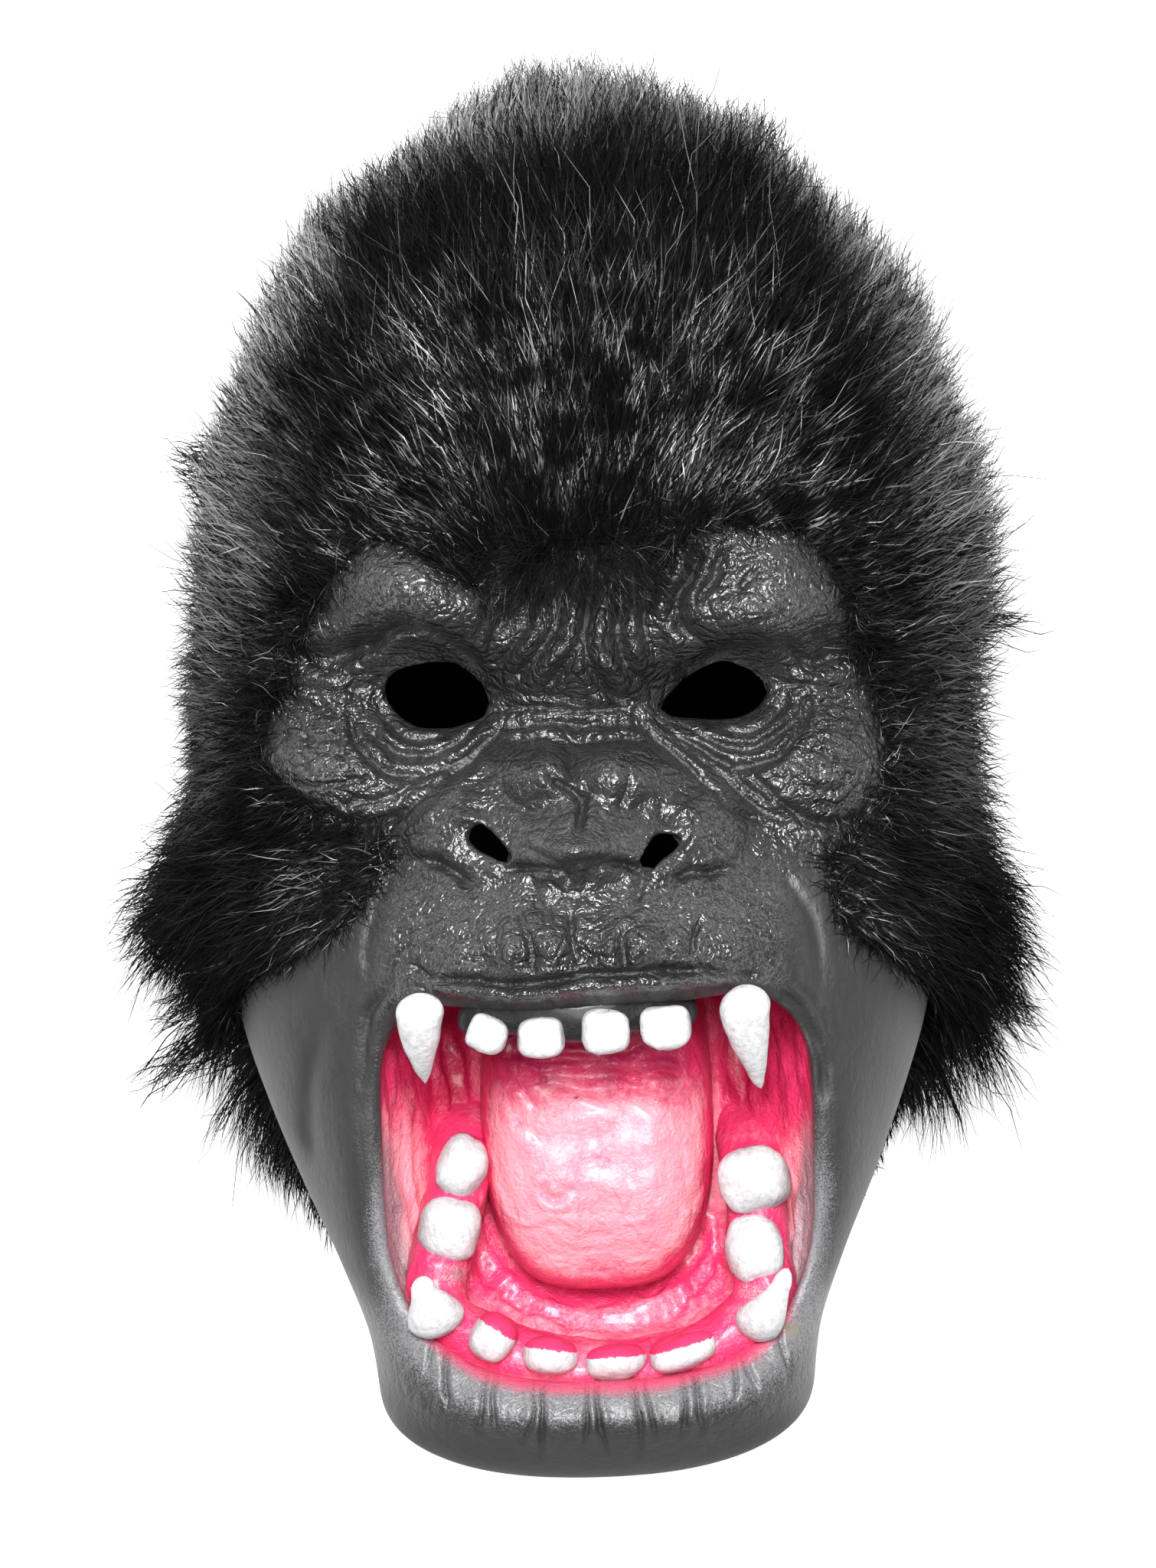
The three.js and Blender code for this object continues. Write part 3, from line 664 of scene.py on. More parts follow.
class Finish:
    """One material: its shader's settings, and the nodes that vary it."""

    def __init__(self, name, **settings):
        self.material = bpy.data.materials.new(name)
        self.material.use_nodes = True
        self.tree = self.material.node_tree
        self.shader = next(n for n in self.tree.nodes if n.type == "BSDF_PRINCIPLED")
        for key, value in settings.items():
            self.shader.inputs[key.replace("_", " ").title().replace("Ior", "IOR")].default_value = value

    def put(self, socket, value):
        """Links a level to a socket, or sets the socket's own value."""
        if isinstance(value, Level):
            self.tree.links.new(value.socket, socket)
        else:
            socket.default_value = value

    def add(self, kind, settings=None, *values, output=0, **named):
        """A node of any type: its settings first, then the values or links of its sockets."""
        node = self.tree.nodes.new(kind)
        for key, value in (settings or {}).items():
            setattr(node, key, value)
        for socket, value in [*zip(node.inputs, values), *((node.inputs[k], v) for k, v in named.items())]:
            self.put(socket, value)
        return Level(self, node.outputs[output])

    def place(self, stretch=None):
        """Place on the piece in metres, scaled along each axis."""
        at = self.add("ShaderNodeTexCoord", output="Object")
        return self.add("ShaderNodeMapping", None, at, Scale=stretch) if stretch else at

    def mark(self, name):
        return self.add("ShaderNodeAttribute", {"attribute_name": name}, output="Fac")

    def grain(self, size, detail=3.0, rough=0.55, stretch=None, warp=0.0):
        """Random clouds, size in metres, from 0 to 1."""
        sockets = dict(Scale=1 / size, Detail=detail, Roughness=rough, Distortion=warp)
        return self.add("ShaderNodeTexNoise", None, self.place(stretch), output="Fac", **sockets)

    def wrinkles(self, size, stretch=(1.0, 1.0, 1.0)):
        """Fine creases between flat pads, size in metres: 0 in a crease, 1 on a pad."""
        at = self.place(stretch)
        shift = self.add("ShaderNodeTexNoise", None, at, Scale=0.7 / size, Detail=2.0, output="Color")
        at = self.add("ShaderNodeVectorMath", {"operation": "MULTIPLY_ADD"}, shift, (size * 0.8,) * 3, at)
        feature = {"feature": "DISTANCE_TO_EDGE"}
        edge = self.add("ShaderNodeTexVoronoi", feature, at, Scale=1 / size, output="Distance")
        return self.between(edge, 0.0, 0.26)

    def between(self, level, low, high):
        """0 below low, 1 above high."""
        return self.add("ShaderNodeMapRange", {"interpolation_type": "SMOOTHSTEP"}, level, low, high, 0.0, 1.0)

    def paint(self, base, *coats):
        """Lays colours over a base one after another, each as strongly as its level says."""
        for level, colour in coats:
            node = self.tree.nodes.new("ShaderNodeMix")
            node.data_type = "RGBA"
            factor, first, second = node.inputs[0], node.inputs[6], node.inputs[7]
            self.put(factor, level)
            for socket, value in ((first, base), (second, colour)):
                self.put(socket, value if isinstance(value, Level) else (*value, 1.0))
            base = Level(self, node.outputs[2])
        return base

    def bump(self, height, strength, depth):
        return self.add("ShaderNodeBump", None, Strength=strength, Distance=depth, Height=height)

    def feed(self, **sockets):
        for key, value in sockets.items():
            self.tree.links.new(value.socket, self.shader.inputs[key.replace("_", " ")])


# the near-black is the black paint of the gums and the backing, and also painted shade in the latex creases
CHARCOAL, BLACK_AND_SHADE, DUSTED = (0.021, 0.021, 0.022), (0.004, 0.004, 0.0045), (0.034, 0.034, 0.0355)
SILVER, BARE = (0.2, 0.2, 0.212), (0.20, 0.175, 0.135)
# the crimson is painted shade in the mouth's recesses
HOT_PINK, CRIMSON_SHADE, SALMON = (0.75, 0.037, 0.14), (0.46, 0.009, 0.06), (0.90, 0.30, 0.37)
FLECK = 0.00042  # size of the specks of sprayed paint, in metres


def sprayed_latex():
    """Charcoal latex, sprayed silver and pink towards the mouth, darkened in its creases and under the chin as
    painted shade.
    """
    f = Finish("charcoal_latex", roughness=0.4, specular_ior_level=0.85, ior=1.6)
    clouds, pores = f.grain(0.009, 4), f.grain(0.0006, 2)
    streaks = f.grain(0.0014, 3, stretch=(1.0, 0.2, 0.2))
    wrinkles, fine = f.wrinkles(0.0040, (0.75, 1.0, 1.0)), f.wrinkles(0.0015)
    matte, gum, leather = f.mark("matte"), f.mark("gum"), f.mark("leather")
    crease = f.between(f.mark("crease"), 0.2, 1.6)
    fleck = f.grain(FLECK, 2, 0.7) - 0.5
    base = f.paint(
        CHARCOAL,
        (f.between(clouds, 0.35, 0.75), DUSTED),
        (f.between(streaks, 0.52, 0.75) * (0.1 + 0.5 * matte), DUSTED),
        (0.7 * matte, BLACK_AND_SHADE),
        # painted shade: the fine crease lines between the leather's pads are darkened
        (f.between(wrinkles, 0.35, 0.0) * (0.25 + 0.6 * leather), BLACK_AND_SHADE),
        (f.between(streaks, 0.52, 0.36) * (0.15 + 0.5 * matte), BLACK_AND_SHADE),
        # painted shade: the creases and the underside of the chin are darkened through the crease mark, and the
        # silver spray is kept out of them
        (crease * 0.85, BLACK_AND_SHADE),
        (f.between(f.mark("silver") * (1 - 0.85 * crease) + fleck * 3.0, 0.4, 1.5), SILVER),
        (f.between(f.mark("pink") + fleck * 0.9, 0.25, 1.0), HOT_PINK),
        (f.between(gum + (clouds - 0.5) * 0.3, 0.35, 0.65), BLACK_AND_SHADE),
        (f.between(f.mark("chip"), 0.4, 0.6), BARE),
    )
    rough = 0.22 + 0.1 * clouds + 0.36 * matte + 0.25 * crease + 0.06 * pores + 0.4 * gum
    patchy = f.between(f.grain(0.012, 3), 0.35, 0.65)
    height = (0.45 + 0.4 * patchy + 1.1 * leather) * (1 - 0.85 * matte) * wrinkles
    height = height + (0.3 + 0.4 * leather) * (1 - 0.7 * matte) * fine
    height = height + (0.62 + 0.35 * leather) * (1 - 0.75 * matte) * f.grain(0.0016, 4, 0.62, warp=0.5)
    height = height + (0.12 + 0.5 * matte) * streaks + 0.12 * pores
    height = height + (0.5 + 0.5 * leather) * (1 - 0.8 * matte) * f.grain(0.003, 3, 0.6)
    f.feed(Base_Color=base, Roughness=rough, Normal=f.bump(height, 0.8, 0.00045))
    return f.material


def mouth_paint():
    """Glossy pink mouth: crimson as painted shade in its depths and under the upper lip, pale on the tongue,
    and pale painted light on the side walls.
    """
    f = Finish("pink_mouth", roughness=0.34, specular_ior_level=0.5, coat_weight=0.25, coat_roughness=0.16)
    clouds = f.grain(0.007, 4, warp=0.6)
    fine = f.grain(0.0024, 4, 0.6, warp=1.2)
    fleck, dust, gum = f.grain(FLECK, 2, 0.7), f.mark("silver"), f.mark("gum")
    wisps = (fine - 0.5) * 0.9 + (clouds - 0.5) * 0.8
    base = f.paint(
        HOT_PINK,
        # painted shade: crimson wherever the depth mark lies, in the recesses and under the upper lip
        (f.between(f.mark("depth") + (clouds - 0.5) * 0.7, 0.3, 1.0), CRIMSON_SHADE),
        # pale salmon: the tongue's own paint, and painted light on the lit side walls of the lining
        (f.between(f.mark("pale") + wisps, 0.15, 1.0), SALMON),
        (f.between(dust + (fleck - 0.5) * 1.2, 0.3, 0.9) * 0.8, (0.2, 0.17, 0.185)),
        (f.between(fleck, 0.4, 0.7) * f.between(dust, 0.1, 0.5) * 0.8, (0.45, 0.4, 0.42)),
        (f.between(gum + (clouds - 0.5) * 0.15, 0.3, 0.55), BLACK_AND_SHADE),
    )
    height = fine + 0.5 * f.grain(0.0009, 3) + 0.35 * f.wrinkles(0.006, (1.0, 0.5, 1.0))
    f.feed(Base_Color=base, Roughness=0.22 + 0.26 * clouds + 0.4 * gum, Normal=f.bump(height, 0.8, 0.0007))
    return f.material


def tooth_paint():
    """Thick matte white brushed over the pink latex, with a ragged edge."""
    f = Finish("white_teeth", roughness=0.45, specular_ior_level=0.4)
    fine = f.grain(0.0016, 4, 0.6)
    strokes = f.grain(0.0007, 2, stretch=(1.0, 0.3, 0.3))
    edge = f.mark("white") + (strokes - 0.5) * 0.35 + (fine - 0.5) * 0.25
    white = f.paint((0.66, 0.66, 0.67), (f.between(fine, 0.35, 0.7), (0.5, 0.5, 0.52)))
    gum = f.between(f.mark("gum"), 0.4, 0.6)
    base = f.paint(HOT_PINK, (gum, CHARCOAL), (f.between(edge, 0.46, 0.54), white))
    f.feed(Base_Color=base, Roughness=0.42 + 0.2 * fine, Normal=f.bump(fine + 0.5 * strokes, 0.6, 0.0006))
    return f.material


def raw_latex():
    """The dark inside of the casting, left as it left the mould."""
    f = Finish("raw_latex", roughness=0.6, specular_ior_level=0.3)
    clouds = f.grain(0.012, 3)
    base = f.paint((0.006, 0.006, 0.0065), (clouds, (0.016, 0.016, 0.017)))
    f.feed(Base_Color=base, Normal=f.bump(clouds + f.grain(0.002, 3), 0.5, 0.0006))
    return f.material


def fur_fibre():
    """Black fibres that glint in short stretches, here and there a pale one, and grey at the sides where
    painted rim light is given in their tint.
    """
    f = Finish("black_pile", roughness=0.5, specular_ior_level=0.02, coat_roughness=0.24, coat_ior=1.6)
    stretches = f.grain(0.013, 2, 0.6)
    # the tint holds the pale fibres and the painted rim light
    pale = f.mark("tint") * f.between(stretches, 0.2, 0.5)
    base = f.paint((0.0012, 0.0012, 0.0014), (pale, (0.62, 0.62, 0.63)))
    f.feed(Base_Color=base, Coat_Weight=f.mark("shine") * f.between(stretches, 0.38, 0.62))
    return f.material


def knitted_backing():
    """The knitted ground the pile stands in: black outside; inside, the knit is darkened to near black as
    painted shade for the inside of the head.
    """
    f = Finish("knitted_backing", roughness=0.85, specular_ior_level=0.05)
    bands = {"bands_direction": "Y"}
    rows = f.add("ShaderNodeTexWave", bands, f.place(), Scale=260.0, Distortion=1.5, output="Fac")
    loops = f.add("ShaderNodeTexVoronoi", None, f.place(), Scale=1 / 0.0018, output="Distance")
    inside = f.between(f.mark("inside"), 0.4, 0.6)
    # painted shade: the inside of the backing is near black, darker than the outside
    base = f.paint(BLACK_AND_SHADE, (inside, (0.0015, 0.0015, 0.0016)), (rows * 0.1, (0.002, 0.002, 0.0022)))
    f.feed(Base_Color=base, Normal=f.bump(rows + loops, 0.6, 0.0008))
    return f.material


LATEX, PINK, WHITE, RAW = sprayed_latex(), mouth_paint(), tooth_paint(), raw_latex()
FIBRE, KNIT = fur_fibre(), knitted_backing()


# The casting: outer skin of the face, its openings, and its inside

RIM = 3.4  # round of the lips into the mouth
EYE_RIM = 1.1
CHIN_POLE = (0, CHIN, 122)


def rounded_edge(away, radius):
    """How far a surface drops where it rounds over into an opening."""
    near = np.clip(1 - away / radius, 0, 1)
    return radius * (1 - np.sqrt(np.maximum(0, 1 - near**2)))


def face_height(x, y, z):
    """Adds the sculpt, the rounded edges of the openings and the fine unevenness to the head form."""
    beside = 1 - step(np.abs(x), *SIDE_FADE)
    rise, deep = relief(x, y)
    z = z + rise * beside
    place = flat(x, y)
    leather = np.abs(noise(place * (1, 1.3, 1), 3.1, 2)) - 0.3
    upper = step(y, -58, -44) * (1 - 0.6 * step(y, -24, -8) * (1 - step(y, 8, 18)))
    leather = (0.05 + 0.12 * upper) * leather
    z = z + (0.35 * noise(place, 10, 1) + 0.08 * noise(place, 4.2, 3) + leather) * beside
    mouth = outside(x, y, MOUTH_EDGE)
    z = z - rounded_edge(mouth, RIM * (1 + 0.5 * step(y, -70, -56)))
    for hole in HOLES:
        z = z - rounded_edge(near_outside(x, y, hole), EYE_RIM)
    return z, deep, mouth


def back_edge(y):
    """How far round the back the casting reaches at each height."""
    edge = LATEX_BACK + np.clip((HEM - y) / (HEM - (CHIN + 8)), 0, 1) * (CHIN_POLE[2] - LATEX_BACK)
    depth = np.maximum(Skin.back(y) * dome(y), 1)
    height = np.clip((Skin.middle(y) - edge) / depth, 0, 1)
    return 1 - np.maximum(0, 1 - height**BACK_POWER) ** (1 / BACK_POWER)


def face_grid(rows, across, behind):
    """Places over the casting: rows of y, each from its back edge on the left round to the right."""
    y = np.repeat(rows[:, None], len(across) + 2 * len(behind), axis=1)
    far = back_edge(rows)[:, None]
    along = np.hstack([-1 - far * behind[::-1], np.repeat(across[None], len(rows), axis=0), 1 + far * behind])
    return along, y


def casting():
    """Points and faces of the outer skin, with each point's depth in a crease and distance from the mouth."""
    fine = 0.54 / Skin.half(0)
    across = graded(
        (-1, -0.97, 0.006), (-0.97, -0.85, 0.016), (-0.85, 0.85, fine), (0.85, 0.97, 0.016), (0.97, 1, 0.006),
    )
    rows = graded(
        (LATEX_TOP, 62, 2.5), (62, -57, 0.6), (-57, -138, 1.3), (-138, -168, 1.0), (-168, -172.5, 0.6),
        (-172.5, CHIN + 0.15, 0.35),
    )
    along, y = face_grid(rows, across, np.array([0.12, 0.3, 0.55, 0.8, 1.0]))
    points = head_point(along, y).reshape(-1, 3)
    points[:, 2], deep, mouth = face_height(*points.T)
    x, y = points[:, 0], points[:, 1]
    side = np.minimum.reduce([mouth, *(near_outside(x, y, hole) for hole in HOLES)])
    side = np.where(np.abs(along.ravel()) <= 1, side, FAR)
    faces, at_cut, rim = cut_holes(points, grid_faces(len(rows), along.shape[1])[:, ::-1], side)
    cut = at_cut(points)
    cut[:, 2], _, _ = face_height(cut[:, 0], cut[:, 1], head_point_z(cut[:, 0], cut[:, 1]))
    marks = np.stack([deep, mouth], axis=1)
    marks = np.vstack([marks, at_cut(marks)])
    points = np.vstack([points, cut])
    # walls of the openings, each edge carried down into the wall of the casting
    walls = []
    loops = chains(rim)
    longest = max(map(len, loops))
    for loop in loops:
        ring = points[loop]
        is_mouth = len(loop) == longest
        outwards_and_down = ((0.06, 2.0), (0.1, 4.0)) if is_mouth else ((0.0, 1.2), (0.15, 2.4), (0.5, 3.2))
        last = np.array(loop)
        away = unit((ring - ring.mean(0)) * (1, 1, 0))
        for outwards, drop in outwards_and_down:
            at = len(points) + np.arange(len(loop))
            points = np.vstack([points, ring + away * outwards - (0, 0, drop)])
            marks = np.vstack([marks, np.tile([0, -drop if is_mouth else FAR], (len(loop), 1))])
            walls.append(np.stack([last, at, np.roll(at, -1), np.roll(last, -1)], axis=1))
            last = at
    # the chin closes in one point
    pole, width = len(points), along.shape[1]
    points = np.vstack([points, CHIN_POLE])
    marks = np.vstack([marks, [0, 40]])
    lowest = (len(rows) - 1) * width + np.arange(width)
    chin = np.stack([lowest[:-1], lowest[1:], np.full(width - 1, pole)], axis=1)[:, ::-1]
    return points, [*faces, chin, *walls], *marks.T


def casting_inside():
    """The unpainted inside of the casting, seen through the neck."""
    rows = graded((LATEX_TOP, -60, 3), (-60, -150, 5), (-150, CHIN + 3.5, 3))
    across = graded((-1, -0.82, 0.03), (-0.82, 0.82, 0.033), (0.82, 1, 0.03))
    along, y = face_grid(rows, across, np.array([0.5, 1.0]))
    shell = head_point(along, y).reshape(-1, 3)
    in_front = np.abs(along.ravel()) <= 1
    shell[:, 2] += np.where(in_front, 0.94 * faded_rise(*shell[:, :2].T), 0)
    shell -= WALL * head_normal(along, y).reshape(-1, 3)
    x, y, _ = shell.T
    side = outside(x, y, MOUTH_EDGE) - 2.0
    for outline in (*EYES, *NOSTRILS):
        side = np.minimum(side, outside(x, y, np.array(outline)) - 0.4)
    side = np.where(in_front, side, FAR)
    faces, at_cut, _ = cut_holes(shell, grid_faces(len(rows), along.shape[1]), side)
    return make_mesh("latex_inside", np.vstack([shell, at_cut(shell)]), faces, RAW)


def paint_marks(x, y, mouth):
    """Sprayed paint round the mouth: pink on the edge, silver specks beyond it, most on the lower lip."""
    low, sides = step(-y, 122, 140), step(-y, 66, 112)
    beside_lip = 1 - step(y, -66, -58)
    wander = noise(flat(x, y), 14, 5) + 0.5 * noise(flat(x, y), 5, 6)
    reach = -1.8 + 3.6 * low + 0.8 * wander
    pink = (1 - step(mouth, reach - 3.5, reach + 5.0)) * beside_lip
    reach = 2.0 + 10.0 * low + 3.0 * sides + 1.6 * wander
    silver = (1 - step(mouth, reach * 0.2, reach + 3.5)) * np.maximum(sides * 1.3, low) * beside_lip
    return pink, silver


def make_casting():
    points, faces, crease, mouth = casting()
    x, y = points[:, 0], points[:, 1]
    pink, silver = paint_marks(x, y, mouth)
    matte = np.maximum(step(np.abs(x), 44, 58) * step(-y, 14, 30), step(-y, 54, 76))
    matte = matte * (1 - 0.4 * step(-y, 118, 132) * step(22 - mouth, 0, 8))
    gum = (mouth < 3.0) * step(y, -66, -58)
    # painted shade: the underside of the chin is darkened through the crease mark
    crease = crease + 1.5 * step(-y, 151, 166)
    leather = np.maximum.reduce([
        spot(np.abs(x), y, 62, 6, 14, 17), spot(x, y, 2, 30, 30, 20), 0.8 * spot(x, y, 0, -40, 36, 8),
        0.5 * (np.abs(x) < 76) * step(y, 12, 20),
    ]) * (1 - matte)
    chip = (np.abs(x - 48.8) < 1.7) & (np.abs(y + 137.5) < 1.9)
    marks = dict(crease=crease, pink=pink, silver=silver, matte=matte, gum=gum, leather=leather, chip=chip)
    return make_mesh("latex_face", points, faces, LATEX, marks)


# The inside of the mouth: its sections from the lips (0) to the floor (0.8) and the middle of the floor (1)
POCKET_HALF = profile((0, 53.5), (0.12, 53.3), (0.3, 50.5), (0.5, 46), (0.65, 40.5), (0.8, 31), (1, 1))
POCKET_UP = profile((0, 45), (0.12, 47.5), (0.3, 51), (0.5, 53), (0.65, 51), (0.8, 42), (1, 1))
POCKET_DOWN = profile((0, 50), (0.12, 49.5), (0.3, 46.5), (0.5, 41), (0.65, 34), (0.8, 25), (1, 1))
POCKET_DEPTH = profile((0, 0), (0.12, 0.17), (0.3, 0.4), (0.5, 0.64), (0.65, 0.85), (0.8, 1), (1, 1))
MOUTH_FLOOR, POCKET_AROUND = 118.5, 300
MOUTH_BED = MOUTH_FLOOR - 2.2  # tongue and gums reach this far into the floor
POCKET_LEAN = 26.0  # the folds rise towards the middle of the mouth, this far in front of them
POCKET_SLACK = 0.3

# Folds inside the mouth: height, half width, line
MOUTH_FOLDS = (
    (1.6, 2.0, (-34, -62), (-33, -70), (-32, -80), (-33, -88)),
    (1.3, 1.6, (-39, -60), (-38, -70), (-36, -80)),
    (-1.5, 1.3, (-36.5, -60), (-35.5, -72), (-34, -84)), (1.6, 2.0, (36, -62), (37, -72), (37, -84)),
    (1.2, 1.6, (42, -64), (42.5, -74), (43, -86)), (-1.5, 1.3, (39.5, -62), (40, -74), (40.5, -86)),
    (1.7, 2.0, (-29, -112), (-24, -124), (-14, -131.5), (2, -134.5), (18, -132.5), (28, -124), (33, -112)),
    (-1.4, 1.3, (-31, -116), (-26, -127), (-14, -134), (2, -137.5), (19, -135), (30, -126)),
    (1.1, 1.5, (-30, -124), (-22, -132), (-12, -136.5), (2, -139)),
    (1.0, 1.3, (22, -134), (30, -128), (35, -118)),
)


def mouth_lining():
    """From just inside the lips down the gums to the floor, with its folds."""
    around = np.linspace(0, 2 * np.pi, POCKET_AROUND, endpoint=False)
    x, y = mouth_ring(around)
    lift = lip_lift(x, y)
    y = y + lift
    edge = face_height(x, y, head_point_z(x, y))[0] - 1.0
    t = np.concatenate([np.linspace(0, 0.8, 50), np.linspace(0.8, 1, 10)[1:]])[:, None]
    x, y = mouth_ring(around, *(size(t) + POCKET_SLACK for size in (POCKET_HALF, POCKET_UP, POCKET_DOWN)))
    y = y + lift * (1 - step(t, 0, 0.3))
    z = edge + (MOUTH_FLOOR - edge) * POCKET_DEPTH(t)
    p = np.stack([x, y, z], axis=-1)
    folds = 0.8 * noise(p * (1.0, 0.5, 0.7), 6, 11) + 0.45 * noise(p, 2.8, 12)
    folds = folds + 1.2 * ridges(p * (1, 0.5, 0.6), 7, 13, 3.2)
    for height, width, *line in MOUTH_FOLDS:
        cut, _, near = stroke(x, y, line, width)
        folds[near] += height * cut
    inwards = unit(np.stack([MOUTH["x"] - x, MOUTH["y"] - y, np.full_like(x, POCKET_LEAN)], axis=-1))
    p = p + inwards * (folds * step(t, 0.04, 0.25))[..., None]
    faces, points = capped(p)
    return points, faces, np.append(np.repeat(t.ravel(), POCKET_AROUND), 1.0)


def capped(lines):
    """Faces and points of a tube of closed lines, with a fan over its last line."""
    rows, columns = lines.shape[:2]
    last = (rows - 1) * columns + np.arange(columns)
    fan = np.stack([last, np.roll(last, -1), np.full(columns, rows * columns)], axis=1)
    return [grid_faces(rows, columns, closed=True), fan], np.vstack([lines.reshape(-1, 3), lines[-1].mean(0)])


def make_mouth():
    points, faces, t = mouth_lining()
    x, y, z = points.T
    pink, silver = paint_marks(x, y, outside(x, y, MOUTH_EDGE) - 1.5)
    aside = np.abs(x - MOUTH["x"])
    # painted shade: crimson under the upper lip, on the upper side walls and deep in the pocket
    depth = np.maximum.reduce([
        step(y, -80, -56), step(-z, -140, -122) * 0.45,
        0.9 * step(aside, 24, 36) * step(y, -96, -76) * (1 - step(aside, 42, 48)),
    ]) * (1 - 0.45 * step(noise(points, 9, 14), 0.0, 0.6))
    dust = silver * (1 - step(t, 0.12, 0.48)) * step(-y, 62, 100) * (1 - step(-y, 126, 140))
    gum = step(y, -62, -56) * (1 - step(t, 0.14, 0.34)) * (1 - step(np.abs(x + 2), 35, 45))
    pale = step(-y, 84, 118) * 0.55 * step(z, 120, 130)
    # partly pale paint, partly painted light: the side walls are paler, more on the left
    pale = pale + (0.55 - 0.4 * (x > 0)) * step(aside, 40, 47) * step(-y, 66, 84)
    pale = pale + 0.6 * step(aside, 41, 47) * step(-y, 86, 102) * (1 - step(-y, 116, 130))
    marks = dict(depth=depth, pale=pale, silver=1.3 * dust, gum=gum)
    return make_mesh("mouth_lining", points, faces, PINK, marks)


def mouth_back():
    """The unpainted back of the mouth pocket, seen from inside the mask."""
    lines = mouth_lining()[0][:-1].reshape(-1, POCKET_AROUND, 3)[3::3, ::5]
    outwards = (lines - (MOUTH["x"], MOUTH["y"], 0)) * (1, 1, 0) - (0, 0, POCKET_LEAN)
    faces, points = capped(lines + WALL * unit(outwards))
    return make_mesh("mouth_back", points, [f[:, ::-1] for f in faces], RAW)


def ball(rows, columns):
    """Directions over a sphere with its poles on Y: rows from +Y to -Y."""
    a = np.linspace(0, np.pi, rows)[:, None]
    b = np.linspace(0, 2 * np.pi, columns, endpoint=False)
    return np.stack([np.sin(a) * np.cos(b), np.cos(a) + 0 * b, np.sin(a) * np.sin(b)], axis=-1)


TONGUE_CREASES = (
    (1.4, 1.3, (1.5, -84), (3, -92), (3.5, -100), (3, -109)),
    (1.2, 1.0, (-10, -98), (-12, -101), (-9, -104), (-6, -101)),
    (1.6, 1.1, (-8, -76), (-2, -79), (5, -80.5)), (1.3, 1.0, (6, -72), (12, -74), (18, -72), (24, -74)),
    (1.2, 1.0, (-22, -72), (-16, -76), (-12, -82)), (1.2, 1.0, (-24, -82), (-18, -84), (-12, -88)),
    (1.3, 1.0, (4, -66), (10, -67), (16, -64)), (1.0, 0.9, (10, -78), (16, -80), (22, -79)),
    (1.1, 1.0, (-18, -66), (-12, -69), (-5, -68), (0, -70)),
)


def make_tongue():
    rows, columns = 150, 120
    d = ball(rows, columns)
    x = 2.1 + (29.5 + 4 * step(d[..., 1], 0.2, 0.95)) * squared(d[..., 0], 0.66)
    y = -83 + 45.0 * squared(d[..., 1], 0.74)
    z = 121 + 27.5 * squared(d[..., 2], 0.72)
    p = np.stack([x, y, z], axis=-1)
    rise = 1.1 * noise(p, 13, 22) + 0.5 * noise(p, 5, 23) + 0.2 * noise(p * (1, 2, 1), 2.2, 24)
    rise = rise + 1.5 * ridges(p * (0.5, 1.5, 1), 6, 21, 3) * step(y, -92, -70)
    rise = rise + 0.7 * ridges(p * (0.8, 1.0, 1), 8, 25, 3.5)
    rise = rise - 1.8 * hump(x, 2, 9) * step(-y, 70, 96) * step(y, -128, -112)
    deep = np.zeros(x.shape)
    for depth, width, *line in TONGUE_CREASES:
        cut, banks, near = stroke(x, y, line, width)
        rise[near] += 1.3 * depth * (0.6 * banks - cut)
        deep[near] += depth * cut
    top = step(d[..., 2], 0, 0.6)
    p[..., 2] = np.maximum(p[..., 2] + top * rise, MOUTH_BED)
    points, deep, top = p.reshape(-1, 3), deep.ravel(), top.ravel()
    _, y, z = points.T
    # painted shade: crimson at the root under the teeth, down the sides and in the creases, which are also kept
    # less pale
    depth = np.maximum(step(y, -82, -58) * (0.8 + 0.5 * noise(points, 9, 26)), 1 - step(z, 126, 140))
    depth = np.maximum(depth, 0.25 * deep * top)
    pale = step(z, 132, 142) * (1 - step(y, -88, -66)) * (1.1 + 0.35 * noise(points, 12, 27))
    pale = pale * (1 - 0.25 * np.clip(deep, 0, 1))
    zero = np.zeros(len(points))
    faces = [grid_faces(rows, columns, closed=True)[:, ::-1]]
    return make_mesh("tongue", points, faces, PINK, dict(depth=depth, pale=pale, silver=zero, gum=zero))


# Blunt teeth by kind: squareness, first seed, black gum, and each tooth's place, half sizes and turn
BLUNT_TEETH = (
    (0.62, 41, 1.0, (
        (-24.0, -60.0, 184, 4.9, 4.6, 4.4, -24), (-11.1, -61.3, 185, 5.9, 5.0, 4.4, 3),
        (4.9, -60.5, 185, 6.0, 5.4, 4.4, -5), (19.5, -59.9, 184, 6.1, 5.3, 4.4, 3),
    )),
    (0.8, 51, 0.0, (
        (-25.6, -136.6, 151.5, 5.8, 6.0, 8, -34), (-11.6, -141.6, 152.5, 7.2, 4.6, 8, -8),
        (4.6, -143.8, 152.5, 7.4, 4.3, 8, 2), (21.6, -141.8, 152.5, 8.3, 4.4, 8, 15),
    )),
    (0.78, 61, 0.0, (
        (-32.2, -94.9, 137, 6.1, 7.6, 10, -28), (-35.7, -110.4, 139, 7.7, 8.3, 10, -8),
        (40.8, -100.4, 140, 8.8, 8.4, 10, 10), (40.6, -118.2, 141, 7.3, 8.7, 10, 4),
    )),
)
# How far the white paint comes down on each kind: upper incisors, lower incisors, molars
PAINTED = (lambda d: 1.2 * (1.05 - d[:, 1]), lambda d: 1.4 * (0.3 - d[:, 1]), lambda d: 1.0 * (d[:, 2] - 0.05))
